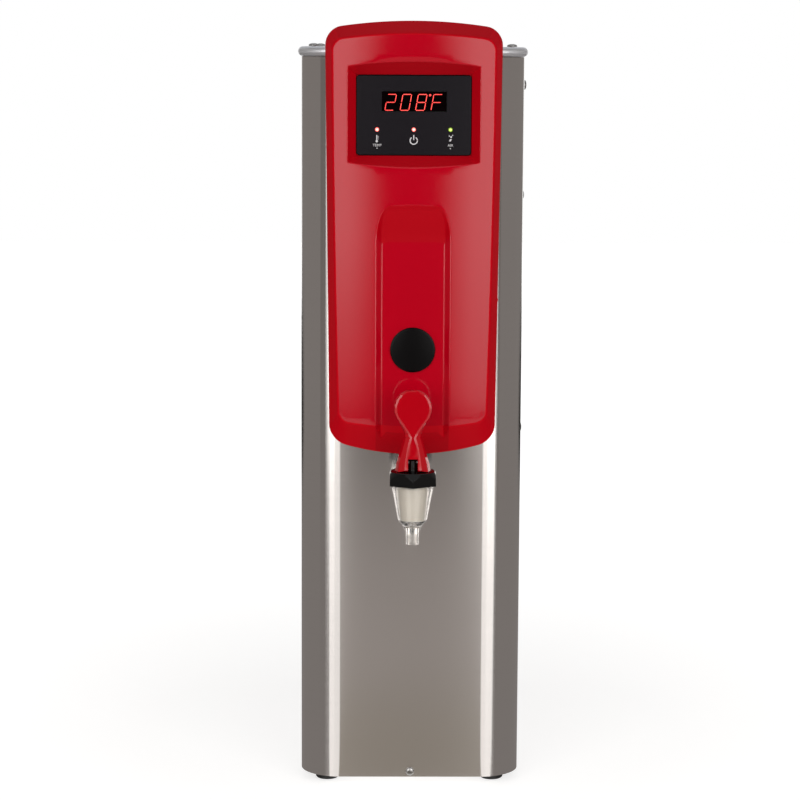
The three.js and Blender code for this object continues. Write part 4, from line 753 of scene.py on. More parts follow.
def cover_lines(rings):
    """Closed and open lines in the plane of the face that the cover's mesh follows."""
    closed = [[(x, z) for x, _, z in ring] for ring in rings]
    special = (TOP - 0.1, TOP, LID_TOP + GAP, LID_TOP + GAP + 0.1)
    outline = []
    for (x0, z0), (x1, z1) in zip(closed[0], closed[0][1:] + closed[0][:1]):
        outline.append((x0, z0))
        cuts = sorted((z for z in special if min(z0, z1) < z < max(z0, z1)), reverse=z1 < z0)
        outline += [(mixed(x0, x1, (z - z0) / (z1 - z0)), z) for z in cuts]
    closed[0] = outline
    for share in (-0.006, 0.0, 0.12, 0.35, 0.6, 0.82, 0.9, 0.96, 1.0, 1.05, 1.12):
        half = mixed(PANEL_HALF, RIM_HALF, share)
        scale = RIM_HALF / half
        closed.append(rectangle_ring(
            half,
            lambda x, s=share, k=scale: mixed(PANEL_BOTTOM, rim_bottom(x * k), s),
            lambda x, s=share, k=scale: mixed(PANEL_TOP, rim_top(x * k), s)))
    closed.append(rectangle_ring(WINDOW["half"], lambda x: WINDOW["bottom"], lambda x: WINDOW["top"], 20.0))
    closed.append(circle(0, PLUG_Z, PLUG_HOLE, 48))
    opened = []
    x0, z0 = CHANNEL_HALF - CHANNEL_CORNER, CHANNEL_TOP - CHANNEL_CORNER * CHANNEL_STRETCH
    sides = [mixed(CHANNEL_FOOT, z0, i / 40) for i in range(41)]
    for out in (-1.2, -0.6, -0.1, 0.5, 1.3, 2.2, 3.0, 3.6, 4.2, 4.8, 5.5, 6.3):
        radius = CHANNEL_CORNER + out
        line = [(x0 + radius, z) for z in sides]
        line += [(x0 + x, z0 + CHANNEL_STRETCH * z) for x, z in arc(0, 0, radius, 10, 90, 8)]
        line += [(x0 * (1 - i / 3), z0 + CHANNEL_STRETCH * radius) for i in range(1, 4)]
        opened.append(line + [(-x, z) for x, z in reversed(line[:-1])])
    return closed, opened


def cover_plan(closed, opened):
    """Points and triangles in the plane of the face, along the lines and on a grid between them."""
    points, edges = [], []
    for line, joins in [(line, len(line)) for line in closed] + [(line, len(line) - 1) for line in opened]:
        first = len(points)
        points += line
        edges += [(first + i, first + (i + 1) % len(line)) for i in range(joins)]
    tree = KDTree(len(points))
    for i, (x, z) in enumerate(points):
        tree.insert((x, 0, z), i)
    tree.balance()
    for column in range(-GRID_COLUMNS, GRID_COLUMNS + 1):
        for row in range(GRID_ROWS):
            x, z = column * GRID_STEP, GRID_FOOT + row * GRID_STEP
            if tree.find((x, 0, z))[2] > GRID_ROOM:
                points.append((x, z))
    found, _, triangles, *_ = delaunay_2d_cdt([Vector(point) for point in points], edges, [], 0, 1e-4, False)
    return found, triangles


def cover_skin(rings, face_edge, outline, plan):
    """The cover's outer skin: its bevel, face, recess and channel, with a rim that runs to the back."""
    recess_blend, channel_blend = 0.5, 0.7
    base = BVHTree.FromPolygons([Vector(point) for ring in rings for point in ring],
                                ring_faces(len(rings), len(rings[0])))
    found, triangles = plan

    def depth(x, z):
        hit = base.ray_cast(Vector((x, -100, z)), Vector((0, 1, 0)))[0]
        if hit:
            outer = -hit.y
        else:
            outer = face_depth(x) if inside(x, z, face_edge) else BACK_DEPTH
        if abs(x) < RECESS_ZONE["half"] and RECESS_ZONE["bottom"] < z < RECESS_ZONE["top"]:
            share = recess_share(x, z)
            sunk = recess_surface(share)
            outer = smooth_min(outer, sunk, recess_blend) if share > WALL_SHARE else sunk
        if abs(x) < CHANNEL_ZONE["half"] and z < CHANNEL_ZONE["top"]:
            outer = smooth_min(outer, channel_surface(x, z), channel_blend)
        return outer

    def kept(triangle):
        x, z = (sum(found[i][k] for i in triangle) / 3 for k in (0, 1))
        if not inside(x, z, outline) or math.hypot(x, z - PLUG_Z) < PLUG_HOLE:
            return False
        return not (abs(x) < WINDOW["half"] and WINDOW["bottom"] < z < WINDOW["top"])

    work = bmesh.new()
    verts = [work.verts.new(place(x, -depth(x, z), z)) for x, z in found]
    for triangle in triangles:
        if kept(triangle):
            work.faces.new([verts[i] for i in triangle])
    bmesh.ops.delete(work, geom=[v for v in work.verts if not v.link_faces], context="VERTS")
    on_rim = lambda v: (BACK_DEPTH + 0.5) * MM > FRONT_Y - v.co.y
    rim = [e for e in work.edges if e.is_boundary and all(on_rim(v) for v in e.verts)]
    grown = bmesh.ops.extrude_edge_only(work, edges=rim)
    for vert in (item for item in grown["geom"] if isinstance(item, bmesh.types.BMVert)):
        vert.co.y = FRONT_Y + back_edge(vert.co.z / MM) * MM
    bmesh.ops.recalc_face_normals(work, faces=work.faces)
    mesh = bpy.data.meshes.new("skin")
    work.to_mesh(mesh)
    work.free()
    if sum(p.normal.y * p.area for p in mesh.polygons) > 0:
        mesh.flip_normals()
    return mesh


def painted_shade_finish(x, z, lean, face_edge):
    """The number of the finish at a point: 0 on the face, and more for the sides, whose reds carry painted
    shade that deepens the more they face up; the recess walls and the channel's down-facing top take fixed
    painted-shade reds.
    """
    channel_end, recess_side, recess_end, deepest = 3, 4, 5, len(PAINTED_SHADE_REDS)
    if abs(x) < RIM_HALF and RIM_BOTTOM < z < RIM_TOP and recess_share(x, z) < 0.98:
        return recess_side if abs(x) > PANEL_HALF else recess_end
    if abs(x) < CHANNEL_RIM and z < CHANNEL_RIM_TOP + 1 and lean < -0.03:
        return channel_end
    return 0 if inside(x, z, face_edge) else min(1 + int(max(lean, 0) / TILT_STEP), deepest)


def front_cover():
    """The moulded cover: its skin given a wall, a painted-shade finish for each kind of side, and a back over
    the lid.
    """
    rings = cover_rings()
    closed, opened = cover_lines(rings)
    outline = closed[0]
    face_edge = [(x, z) for x, _, z in rings[-1]]
    blank = linked(cover_skin(rings, face_edge, outline, cover_plan(closed, opened)))
    wall = blank.modifiers.new("wall", "SOLIDIFY")
    wall.thickness = WALL * MM
    wall.offset = -1
    cover = settle("cover_moulding", baked(blank), "cover", "cover_red", ["front_cover"], 32)
    # Painted shade: the sides, the recess walls and the channel's top get darker copies of the red
    for side in shaded_cover_reds():
        cover.data.materials.append(side)
    for polygon in cover.data.polygons:
        x, z = polygon.center.x / MM, polygon.center.z / MM
        polygon.material_index = painted_shade_finish(x, z, polygon.normal.z, face_edge)
    highest, share, thickness = max(z for _, z in outline) - 1.0, 0.985, 2.8
    plate = [(x * share, min(z, highest)) for x, z in outline if z > LID_TOP + GAP + 0.05]
    piece("cover_back_wall", prism(plate, 0.0, thickness, "y"), "cover", "cover_red")


# Control panel

SEGMENTS = {"2": "abged", "0": "abcdef", "8": "abcdefg", "F": "aefg"}


def segment_bars(letter, width, height, bar):
    """The lit bars of a digit as six-sided outlines."""
    gap, h, middle = 0.25, bar / 2, height / 2

    def level(y):
        return [(gap, y), (gap + h, y + h), (width - gap - h, y + h), (width - gap, y),
                (width - gap - h, y - h), (gap + h, y - h)]

    def upright(x, low, high):
        return [(x, low + gap), (x + h, low + gap + h), (x + h, high - gap - h), (x, high - gap),
                (x - h, high - gap - h), (x - h, low + gap + h)]

    shapes = {"a": level(height), "g": level(middle), "d": level(0), "f": upright(0, middle, height),
              "b": upright(width, middle, height), "e": upright(0, 0, middle), "c": upright(width, 0, middle)}
    return [shapes[name] for name in SEGMENTS[letter]]


def slabs(outlines, front, thickness):
    """Points and faces of flat outlines in (x, z), each made a thin slab behind its front."""
    points, faces = [], []
    for outline in outlines:
        first, n = len(points), len(outline)
        for y in (front, front + thickness):
            points += [(x, y, z) for x, z in outline]
        faces += [tuple(range(first, first + n)), tuple(range(first + 2 * n - 1, first + n - 1, -1))]
        faces += [(first + i, first + n + i, first + n + (i + 1) % n, first + (i + 1) % n) for i in range(n)]
    return points, faces


def display_digits():
    """208 and a degree F, as leaning bars of light."""
    lean, base = 0.18, 579.3
    width, height, bar = 7.2, 13.0, 0.66
    degree_x, degree_rise, sides = 11.0, 12.4, 10
    drawn = [(x, outline) for letter, x in (("2", -23.9), ("0", -11.4), ("8", 1.3), ("F", 14.0))
             for outline in segment_bars(letter, width, height, bar)]
    ring, hole = circle(0, degree_rise, 0.95, sides), circle(0, degree_rise, 0.35, sides)
    for i in range(sides):
        j = (i + 1) % sides
        drawn.append((degree_x, [hole[i], hole[j], ring[j], ring[i]]))
    outlines = [[(x + u + lean * v, base + v) for u, v in outline] for x, outline in drawn]
    piece("display_digits", slabs(outlines, OVERLAY_FACE - 0.02, 0.12), "digit", "display_module")


def printed(name, words, size, at):
    """A small generic word on the overlay, as a thin mesh."""
    curve = bpy.data.curves.new(name, "FONT")
    curve.body = words
    curve.size = size * MM
    curve.align_x = "CENTER"
    curve.align_y = "CENTER"
    curve.extrude = 0.01 * MM
    mesh = baked(linked(curve))
    mesh.transform(Matrix.Translation(place(*at)) @ Matrix.Rotation(math.pi / 2, 4, "X"))
    settle(name, mesh, "print", "overlay_black", sharp=30)


def overlay_marks():
    """The three keys' symbols and words, and a dot under each outer key."""
    y = OVERLAY_FACE - 0.06
    printed("word_temp", "TEMP", 3.0, (-KEY_SPREAD, y, 550.6))
    printed("word_air", "AIR", 3.0, (KEY_SPREAD, y, 550.6))
    outer, inner = (arc(0, 554.6, radius, 125, 415, 28) for radius in (3.425, 2.575))
    power = [[inner[i], inner[i + 1], outer[i + 1], outer[i]] for i in range(28)]
    upright = lambda x0, x1, z0, z1: [(x0, z0), (x1, z0), (x1, z1), (x0, z1)]
    power.append(upright(-0.42, 0.42, 555.0, 559.2))
    thermometer = [circle(-30.4, 554.0, 1.0, 16), upright(-30.8, -30.0, 554.6, 559.0)]
    thermometer += [upright(-29.6, -28.9, z, z + 0.35) for z in (555.6, 556.7, 557.8)]
    spray = [[(29.0, 554.0), (30.6, 554.0), (31.4, 556.0), (29.8, 556.0)]]
    spray += [circle(*drop, 12) for drop in ((30.8, 557.6, 0.75), (29.2, 558.4, 0.5), (32.0, 559.0, 0.45))]
    dots = [circle(x, 548.2, 0.45, 12) for x in (-KEY_SPREAD, KEY_SPREAD)]
    piece("key_symbols", slabs(power + thermometer + spray + dots, y, 0.03), "print", "overlay_black")


def indicator_caps():
    profile = [(0, -8), (1.7, -8), (1.7, 0), (1.55, 0.18), (1.2, 0.32), (0.6, 0.4), (0, 0.4)]
    for word, x, slot in LAMPS:
        piece(f"lamp_{word}", turned(profile, (x, OVERLAY_FACE, LAMP_Z), "-y", 32), f"lamp_{word}", slot,
              [f"indicator_{word}"])


def round_plug():
    """The snap-in disc: a softly domed face, an eased rim and a hollow neck."""
    profile = [(0, 0.2), (13.5, 0.2), (13.5, -6.5), (15.5, -6.5), (15.5, 0), (18.4, 0), (18.75, 0.4)]
    profile += [(18.75, 1.1), (18.5, 1.55), (17.9, 1.8), (16.9, 1.9), (13.0, 2.15), (8.0, 2.4), (0, 2.5)]
    shape = turned(profile, (0, -CHANNEL_DEPTH - GAP, PLUG_Z), "-y", 96)
    piece("plug_disc", shape, "plug", "black_plastic", ["hole_plug"])


def panel_plate():
    """The control panel's plate: round corners, eased edges, and openings for the lens and the lamps."""
    half, low, high, radius = 47.4, 542.3, 608.2, 2.8
    lens_left, lens_right, lens_low, lens_high = -26.5, 27, 578.3, 594.8
    right, left, under, over = half - radius, radius - half, low + radius, high - radius
    outline = []
    for i, (x, z) in enumerate(((right, under), (right, over), (left, over), (left, under))):
        outline += arc(x, z, radius, 270 + 90 * i, 360 + 90 * i, 8)
    blank = loose(prism(outline, OVERLAY_FACE, OVERLAY_FACE + 1.3, "y"))
    eased = linked(baked(blank, bevel=0.95, bevel_angle=60))
    lens = [(lens_left, lens_low), (lens_right, lens_low), (lens_right, lens_high), (lens_left, lens_high)]
    cutters = [loose(prism(lens, -30, -10, "y"))]
    cutters += [drill(1.85, -9, 9, (x, OVERLAY_FACE, LAMP_Z), "-y", 32) for x in (-KEY_SPREAD, 0, KEY_SPREAD)]
    plate = weighted(settle("panel_plate", baked(eased, cutters), "overlay", "overlay_black",
                            ["control_faceplate"], 40))
    plate.data.materials.append(MATERIALS["lens"])
    for polygon in plate.data.polygons:
        if abs(polygon.normal.y) < 0.99:
            polygon.material_index = 1


# Faucet

def bonnet_nut():
    """A hexagonal collar with chamfered corners, a corner to the front."""
    turns = [math.pi * i / 3 for i in range(6)]
    corners = [(BONNET_RADIUS * math.sin(turn), FAUCET_Y - BONNET_RADIUS * math.cos(turn)) for turn in turns]
    chamfer = [(0, 270), (26, 270), (26, 272.5), (18.5, 285.3), (18, BONNET_TOP), (0, BONNET_TOP)]
    cone = loose(turned(chamfer, FAUCET_AT, segments=96))
    solid = linked(baked(loose(prism(corners, BONNET_BOTTOM, BONNET_TOP)), [cone], "INTERSECT"))
    roof = SPRING_HEAD + GAP
    hollow = [(0, 270), (15.3, 270), (15.3, roof), (3.8, roof), (3.8, 290), (0, 290)]
    pocket = loose(turned(hollow, FAUCET_AT))
    mesh = baked(solid, [pocket], bevel=0.9, bevel_angle=20)
    weighted(settle("bonnet_hex", mesh, "bonnet", "black_plastic", ["faucet_bonnet"], 40))


def faucet_glass():
    """The clear faucet body with its side socket, seen through to the bell."""
    outside = [(5.4, 224.5), (5.4, 233), (7.5, 239), (12, 245), (17, 271), (17, 274), (15, 274), (15, 282)]
    hollow = [(13.8, 282), (13.8, 271), (10.4, 245), (3.8, 240.6), (3.8, 224.5)]
    profile = softened(outside, 0.7) + hollow
    shape = turned(profile + [profile[0]], FAUCET_AT, segments=72)
    shell = piece("faucet_shell", shape, "clear", "faucet_clear", ["faucet_body"])
    shell.visible_shadow = False
    socket = softened([(8.3, 12.5), (11, 12.5), (11, 27), (8.3, 27), (8.3, 12.5)], 0.4)
    piece("faucet_socket", turned(socket, SHANK_AT, "y"), "clear", "faucet_clear")


def bell():
    """The seat cup: a bell that closes the outlet, with a dished top for the spring's foot."""
    dish = SPRING_FOOT - GAP
    profile = [(0, 240.9), (3.4, 240.9), (9.7, 245.0), (12.6, 272.3), (10.4, 272.3), (10.0, dish)]
    profile += [(3.8, dish), (3.8, 248.7), (0, 248.7)]
    shape = turned(softened(profile, 0.8), FAUCET_AT, segments=72)
    piece("seat_bell", shape, "bell", "silicone", ["seat_cup"], STEM)


def stem_rod():
    """The lifting rod: round, with a half-round top across the pin."""
    radius, foot = 3.5, 249
    top = PIN_Z + radius
    profile = [(0, foot), (3.2, foot), (radius, foot + 0.3), (radius, top), (0, top)]
    body = loose(turned(profile, FAUCET_AT, segments=48))
    over = arc(FAUCET_Y, PIN_Z, radius, 0, 180, 16)
    shape = loose(prism(over + [(FAUCET_Y - radius, 240), (FAUCET_Y + radius, 240)], -5, 5, "x"))
    solid = linked(baked(body, [shape], "INTERSECT"))
    mesh = baked(solid, [drill(PIN_HOLE, -6, 6, PIN_AT, "x", 24)])
    settle("stem_rod", mesh, "black", "black_plastic", ["faucet_stem"], body=STEM)


def return_spring():
    """Gives the spring, which sits on the rod under the bonnet, a mesh of its own."""
    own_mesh(bpy.data.objects["stem_spring"])


HANDLE_SECTIONS = [
    # height, half width, half depth, half width of the front facet
    (286.0, 14.6, 14.4, 5.4), (292.0, 13.5, 12.8, 4.9), (300.0, 11.2, 10.0, 3.9), (308.0, 8.7, 7.6, 2.5),
    (313.6, 7.3, 6.2, 0.7), (317.0, 7.3, 5.5, 2.4), (321.0, 8.5, 5.1, 5.0), (325.0, 10.4, 5.0, 7.6),
    (330.0, 13.9, 4.95, 11.3), (335.0, 15.6, 4.9, 13.2), (340.0, 15.6, 4.9, 13.2), (345.0, 13.9, 4.9, 11.5),
    (349.0, 10.8, 4.85, 8.3), (351.6, 6.8, 4.4, 4.2), (352.6, 3.4, 3.2, 1.2),
]
FACET_WIDTH = 1.8
FACET_FALL = 0.45
HANDLE_SLOT = 4
TOE_REST = 6.8
TOE_LIFT = 8.0
HANDLE_TILT = math.radians(40)


def toe_section(before, under):
    """The section cut away under the toe, which bears on the bonnet and lifts the pin as the handle tilts."""
    toe = [(before, under)]
    for angle in (HANDLE_TILT * i / 12 for i in range(13)):
        reach = TOE_REST + TOE_LIFT * angle
        toe.append((FAUCET_Y - reach * math.sin(angle) - TOE_LIFT * math.cos(angle),
                    PIN_Z - reach * math.cos(angle) + TOE_LIFT * math.sin(angle)))
    return toe + [(before, toe[-1][1])]


def lever():
    """The handle: a round paddle that crosses at its neck into a flared, slotted foot."""
    rings = []
    for z, w, d, f in HANDLE_SECTIONS:
        brow, cheek = f + FACET_WIDTH, mixed(f + FACET_WIDTH, w, 0.7)
        near = [(f, d), (brow, d - FACET_FALL), (cheek, d * 0.62), (w, d * 0.12)]
        half = [(x, -y) for x, y in near] + near[::-1]
        rings.append([(x, FAUCET_Y + y, z) for x, y in half + [(-x, y) for x, y in reversed(half)]])
    before, under = FAUCET_Y - 30, PIN_Z - 20
    slot = [(before, under), (FAUCET_Y + HANDLE_SLOT, under)]
    slot += arc(FAUCET_Y, PIN_Z, HANDLE_SLOT, 0, 90, 8) + [(before, PIN_Z + HANDLE_SLOT)]
    cutters = [loose(prism(slot, -HANDLE_SLOT, HANDLE_SLOT, "x")), drill(PIN_HOLE, -22, 22, PIN_AT, "x", 24),
               loose(prism(toe_section(before, under), -20, 20, "x"))]
    mesh = baked(loose(lofted(rings)), cutters, bevel=0.55, bevel_angle=14)
    weighted(settle("lever_paddle", mesh, "handle", "handle_red", ["faucet_handle"], 45, HANDLE))


def lever_pin():
    profile = softened([(0, -12), (1.5, -12), (1.5, 12), (0, 12)], 0.3)
    piece("lever_pin", turned(profile, PIN_AT, "x", 32), "screw", "inner_steel", ["handle_pin"], HANDLE)


def shank_tube():
    """The tube that carries the faucet, with a collar and four barbs for the hose."""
    bore, barb, barb_start, barb_pitch = 5.4, 6.0, 78, 3.2
    profile = [(bore, 13.8), (8, 13.8), (8, 55.7), (14, 55.7), (14, 59.7), (8, 59.7), (8, 77), (6.7, 77.4)]
    for y in (barb_start + i * barb_pitch for i in range(4)):
        profile += [(6.7, y), (barb, y + 3.0)]
    profile += [(barb, 91), (bore, 91), (bore, 13.8)]
    shape = turned(softened(profile, 0.4, 2), SHANK_AT, "y")
    piece("shank_tube", shape, "black", "black_plastic", ["faucet_shank"])


# Rear fittings

def rear_fittings():
    """Finer forms of the water inlet and the cord gland, each with the hexagon that holds it."""
    inlet = [(4.5, 366.3), (8, 366.3)]
    for y in (384.5 + i * 1.3 for i in range(9)):
        inlet += [(8, y), (7.3, y + 0.65)]
    inlet += [(8, 396.2), (7.4, 397), (4.5, 397), (4.5, 366.3)]
    gland = [(4.6, 363.8), (11, 363.8), (11, 377.5), (9.0, 380.5), (9.0, 388.0), (8.4, 390.6), (7.4, 391.3)]
    gland = softened(gland + [(4.6, 391.3), (4.6, 363.8)], 0.4, 2)
    brass, black = ("brass", "brass"), ("black", "black_plastic")
    rows = (("inlet_thread", "inlet_nut", "inlet_fitting", brass, inlet, -45, 72, 12, 30, 8, 8.05),
            ("gland_nose", "gland_collar", "cord_gland", black, gland, 46, 60, 14.5, 0, 5, 10.9))
    for name, nut, node, finish, profile, x, z, size, turn, thick, bore in rows:
        piece(name, turned(profile, (x, 0, z), "y", 56), *finish, [node])
        blank = loose(prism(circle(x, z, size, 6, turn), DEPTH + GAP, DEPTH + GAP + thick, "y"))
        settle(nut, baked(blank, [drill(bore, 370, 390, (x, 0, z), "y", 48)], bevel=0.5), *finish)


def dress_nodes():
    """Gives every node that keeps its own solid a finish."""
    finishes = {
        "cabinet": ("service_panel", "rear_panel", "base_pan"),
        "lens": ("display_lens",),
        "module": ("led_display",),
        "board": ("control_board",),
        "inner_steel": ("tank", "tank_cover", "tank_stand", "heating_element", "temperature_probe",
                        "level_probe", "stem_spring", "shank_nut"),
        "rubber": ("shank_washer",),
        "black": ("key_temp", "key_power", "key_air", "terminal_block", "solid_state_relay", "air_pump",
                  "high_limit_thermostat"),
        "silicone": ("outlet_hose", "fill_tube", "air_tube", "tank_gasket"),
        "foam": ("tank_insulation",),
        "brass": ("inlet_valve",),
    }
    for finish, nodes in finishes.items():
        for node in nodes:
            for slot in bpy.data.objects[node].material_slots:
                slot.material = MATERIALS[finish]


# Camera, light and surroundings

FOCAL_PIXELS = 2512.63
PICTURE_PIXELS = 800
SENSOR = 36.0
CAMERA_AT = (-36.73, -2098.71, 632.41)
CAMERA_YAW = 0.01274
CAMERA_PITCH = 0.14036
CAMERA_ROLL = 0.00485

# Studio: the panels stand either side of the camera, their inner edges near its line of sight. Their light
# grows up to FADE_TOP, and falls from SHINE_TOP on to SHINE_SHARE at SHINE_END, where the fills take over.
PANEL_Y = -2109
PANEL_TURN = math.radians(22.7)
PANEL_WIDTH = 1366
PANEL_FOOT = 32
PANEL_HEAD = 1750
FADE_TOP = 340
SHINE_TOP = 900
SHINE_END = 1300
SHINE_SHARE = 0.3
PANEL_RADIANCE = 2.4
# Each panel's name, inner edge, full strength, side and share of light at its foot
PANELS = (("panel_left", -100, -255, -1, 0.12), ("panel_right", 148, 312, 1, 0.6))
OVERHEAD_Y = 175
OVERHEAD_Z = 2100
OVERHEAD_SIZE = (1600, 1000)
OVERHEAD_RADIANCE = 0.3
CARD_TONES = {
    "above": (0.5, 0.5, 0.51), "table": (0.365, 0.336, 0.318), "glare": (0.95, 0.93, 0.915),
    "side": (0.225, 0.209, 0.2), "low": (0.222, 0.207, 0.199), "black": (0.01, 0.01, 0.01),
    "near": (0.305, 0.277, 0.24), "band": (0.165, 0.15, 0.143),
}
FLOOR_GLOW = 0.72
FAR_GLOW = 0.95


def make_camera():
    """The photograph's viewpoint, fitted to the cabinet's edges."""
    data = bpy.data.cameras.new("camera")
    data.sensor_width = SENSOR
    data.lens = FOCAL_PIXELS * SENSOR / PICTURE_PIXELS
    data.clip_end = 50
    camera = linked(data, "camera")
    yaw, pitch, roll = CAMERA_YAW, CAMERA_PITCH, CAMERA_ROLL
    right = Vector((math.cos(yaw), -math.sin(yaw), 0))
    forward = Vector((math.sin(yaw) * math.cos(pitch), math.cos(yaw) * math.cos(pitch), -math.sin(pitch)))
    up = right.cross(forward)
    across = right * math.cos(roll) + up * math.sin(roll)
    upward = up * math.cos(roll) - right * math.sin(roll)
    turn = Matrix((across, upward, -forward)).transposed()
    camera.matrix_world = Matrix.Translation(place(*CAMERA_AT)) @ turn.to_4x4()
    bpy.context.scene.camera = camera


def softbox(name, centre, target, width, height, radiance, colour=(1.0, 0.985, 0.965)):
    """A rectangular area light at a point, facing another."""
    data = bpy.data.lights.new(name, "AREA")
    data.shape = "RECTANGLE"
    data.size = width * MM
    data.size_y = height * MM
    data.energy = radiance * math.pi * data.size * data.size_y
    data.color = colour
    light = linked(data, name)
    at = place(*centre)
    turn = (place(*target) - at).to_track_quat("-Z", "Y")
    light.matrix_world = Matrix.Translation(at) @ turn.to_matrix().to_4x4()
    return light


def feather(light, start, end, low_share):
    """Lets a panel's light grow from nothing at one x to full strength at another, and fade at both ends."""
    light.data.use_nodes = True
    tree = light.data.node_tree
    emission = next(node for node in tree.nodes if node.type == "EMISSION")
    split = tree.nodes.new("ShaderNodeSeparateXYZ")
    tree.links.new(tree.nodes.new("ShaderNodeNewGeometry").outputs["Position"], split.inputs[0])
    grow = ramped(tree, split.outputs["X"], start * MM, end * MM)
    rise = ramped(tree, split.outputs["Z"], 0.0, FADE_TOP * MM, low_share, 1.0)
    fall = ramped(tree, split.outputs["Z"], SHINE_TOP * MM, SHINE_END * MM, 1.0, SHINE_SHARE)
    strength = combined(tree, "MULTIPLY", combined(tree, "MULTIPLY", grow, rise), fall)
    tree.links.new(strength, emission.inputs["Strength"])


def make_lights():
    """A tall panel either side of the camera, with a fill that gloss doesn't mirror, and a light overhead."""
    half, upper = PANEL_WIDTH / 2, (SHINE_TOP + SHINE_END) / 2
    for name, inner, full, side, low_share in PANELS:
        x = inner + side * half * math.cos(PANEL_TURN)
        y = PANEL_Y + half * math.sin(PANEL_TURN)
        aim_x, aim_y = x - side * 1000 * math.sin(PANEL_TURN), y + 1000 * math.cos(PANEL_TURN)
        lights = []
        for part, foot in ((name, PANEL_FOOT), (f"{name}_fill", upper)):
            z = (foot + PANEL_HEAD) / 2
            height = PANEL_HEAD - foot
            lights.append(softbox(part, (x, y, z), (aim_x, aim_y, z), PANEL_WIDTH, height, PANEL_RADIANCE))
        feather(lights[0], inner, full, low_share)
        lights[1].visible_glossy = False
    above, below = (0, OVERHEAD_Y, OVERHEAD_Z), (0, OVERHEAD_Y, 0)
    overhead = softbox("overhead", above, below, *OVERHEAD_SIZE, OVERHEAD_RADIANCE)
    overhead.visible_glossy = False


def background_rays(tree):
    """1 for rays that should see the plain background: from the camera, off gloss and through glass."""
    path = tree.nodes.new("ShaderNodeLightPath")
    total = path.outputs["Is Camera Ray"]
    for kind in ("Is Glossy Ray", "Is Transmission Ray"):
        total = combined(tree, "MAXIMUM", total, path.outputs[kind])
    return total


def make_world():
    """White as a background; a soft grey room for the light that it sheds."""
    world = bpy.data.worlds.new("room")
    bpy.context.scene.world = world
    world.use_nodes = True
    tree = world.node_tree
    tree.nodes.clear()
    mix = tree.nodes.new("ShaderNodeMixShader")
    tree.links.new(background_rays(tree), mix.inputs["Fac"])
    for socket, colour in ((1, rgba(0.35, 0.345, 0.34)), (2, rgba(1, 1, 1))):
        background = tree.nodes.new("ShaderNodeBackground")
        background.inputs["Color"].default_value = colour
        tree.links.new(background.outputs[0], mix.inputs[socket])
    output = tree.nodes.new("ShaderNodeOutputWorld")
    tree.links.new(mix.outputs[0], output.inputs["Surface"])


def stage_sheet(name, corners, shader):
    """A flat sheet of the studio, which isn't part of the object."""
    mesh = bpy.data.meshes.new(name)
    mesh.from_pydata([place(*corner) for corner in corners], [], [tuple(range(len(corners)))])
    sheet = linked(mesh, name)
    mesh.materials.append(shader.material)
    sheet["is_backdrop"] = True
    return sheet


def make_floor():
    """A white floor that meets the white surroundings without a line and keeps the object's soft shadow."""
    reach, level = 6000, -0.2
    shader = Shader("floor_white")
    shader.set(Roughness=0.6, Specular_IOR_Level=0.0)
    shader.bsdf.inputs["Base Color"].default_value = rgba(0.5, 0.495, 0.49)
    away = shader.distance(place(0, DEPTH / 2, 0))
    strength = combined(shader.tree, "MULTIPLY", background_rays(shader.tree),
                        shader.value_ramp(away, FLOOR_GLOW, FAR_GLOW, 0.25, 1.2))
    glow = shader.add("Emission")
    shader.join(strength, glow.inputs["Strength"])
    both = shader.add("AddShader")
    shader.join(shader.bsdf.outputs[0], both.inputs[0])
    shader.join(glow.outputs[0], both.inputs[1])
    shader.join(both.outputs[0], shader.output.inputs["Surface"])
    stage_sheet("floor", lying(-reach, reach, -reach, level, reach, level), shader)


def standing(x0, y0, x1, y1, z0, z1):
    """The corners of an upright sheet."""
    return [(x0, y0, z0), (x1, y1, z0), (x1, y1, z1), (x0, y0, z1)]


def lying(x0, x1, y0, z0, y1, z1):
    """The corners of a level or sloping sheet."""
    return [(x0, y0, z0), (x1, y0, z0), (x1, y1, z1), (x0, y1, z1)]


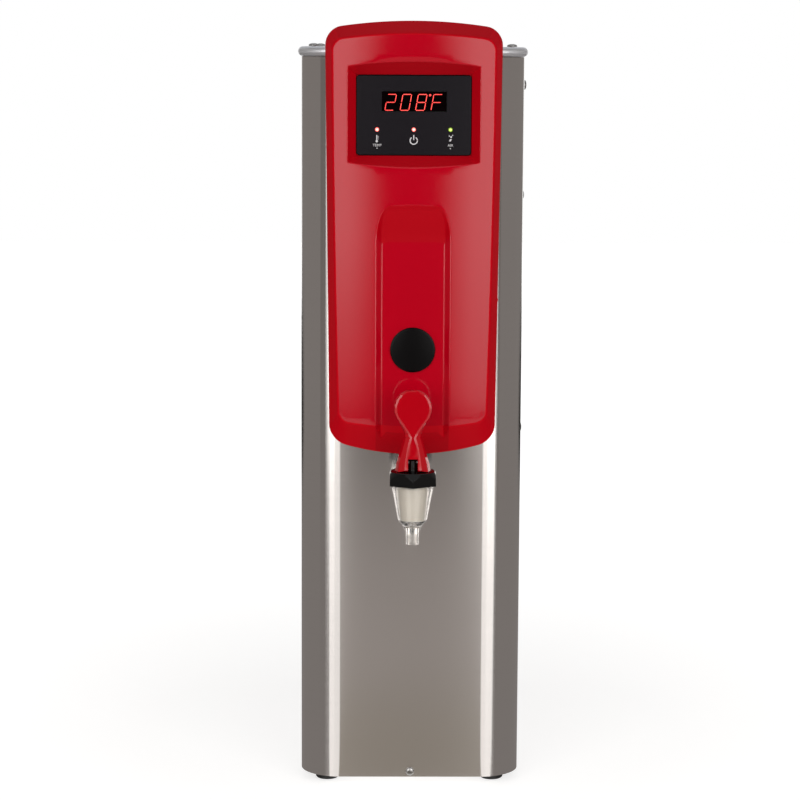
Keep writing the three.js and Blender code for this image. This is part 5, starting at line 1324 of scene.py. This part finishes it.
def make_cards():
    """Cards that the steel and the gloss reflect: before the object, behind the camera and at each side."""
    shaders = {}
    for name, colour in CARD_TONES.items():
        shader = shaders[name] = Shader("card_" + name)
        glow = shader.add("Emission")
        glow.inputs["Color"].default_value = rgba(*colour)
        shader.join(glow.outputs[0], shader.output.inputs["Surface"])
    low, waist, high = 1, 450, 3200
    on_table = lambda *corners: [(x, y, low) for x, y in corners]
    places = {
        "card_behind": ("black", standing(-900, -2600, 900, -2600, low, high)),
        "card_left_low": ("low", standing(-1603, -800, -1900, 4000, low, waist)),
        "card_left_band": ("band", standing(-1560, -1500, -1603, -800, low, high)),
        "card_left": ("side", standing(-1603, -800, -1900, 4000, waist, high)),
        "card_right_low": ("low", standing(1579, -1200, 1900, 4000, low, waist)),
        "card_right_band": ("band", standing(1560, -1500, 1579, -1200, low, high)),
        "card_right": ("side", standing(1579, -1200, 1900, 4000, waist, high)),
        "card_table_far": ("black", lying(-1500, 1500, -2600, low, -1900, low)),
        "card_table": ("table", on_table((-150, -1900), (225, -1900), (89, -300), (-76, -300))),
        "card_table_near": ("near", on_table((-76, -300), (89, -300), (64, -10), (-63, -10))),
        "card_glare_left": ("glare", on_table((-1330, -1900), (-150, -1900), (-63, -10), (-76, -10))),
        "card_glare_right": ("glare", on_table((225, -1900), (1640, -1900), (76, -10), (64, -10))),
        "card_table_left": ("low", on_table((-1800, -1900), (-1330, -1900), (-76, -10), (-105, 1500),
                                            (-1800, 1500))),
        "card_table_right": ("low", on_table((1800, -1900), (1800, 1500), (105, 1500), (76, -10),
                                             (1640, -1900))),
        "card_table_left_far": ("black", lying(-1900, -105, 1500, low, 4000, low)),
        "card_table_right_far": ("black", lying(105, 1900, 1500, low, 4000, low)),
        "card_above": ("above", lying(-2000, 2000, 900, 2600, 3200, 900)),
        "card_ceiling": ("above", lying(-2000, 2000, -2600, 2900, 900, 2900)),
    }
    for name, (tone, outline) in places.items():
        card = stage_sheet(name, outline, shaders[tone])
        card.visible_camera = False
        card.visible_diffuse = False
        card.visible_shadow = False


def build():
    for step in (make_camera, dress_nodes, body_wrap, top_lid, rubber_feet, all_screws, front_cover,
                 panel_plate, display_digits, overlay_marks, indicator_caps, round_plug, bonnet_nut,
                 faucet_glass, bell, stem_rod, return_spring, lever, lever_pin, shank_tube, rear_fittings,
                 make_lights, make_world, make_floor, make_cards):
        step()
    bpy.context.scene.view_settings.view_transform = "Standard"


def corners(bounds):
    return [list(corner) for corner in bounds]


build()
{"cad": corners(cad_box), "visual": corners(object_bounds())}
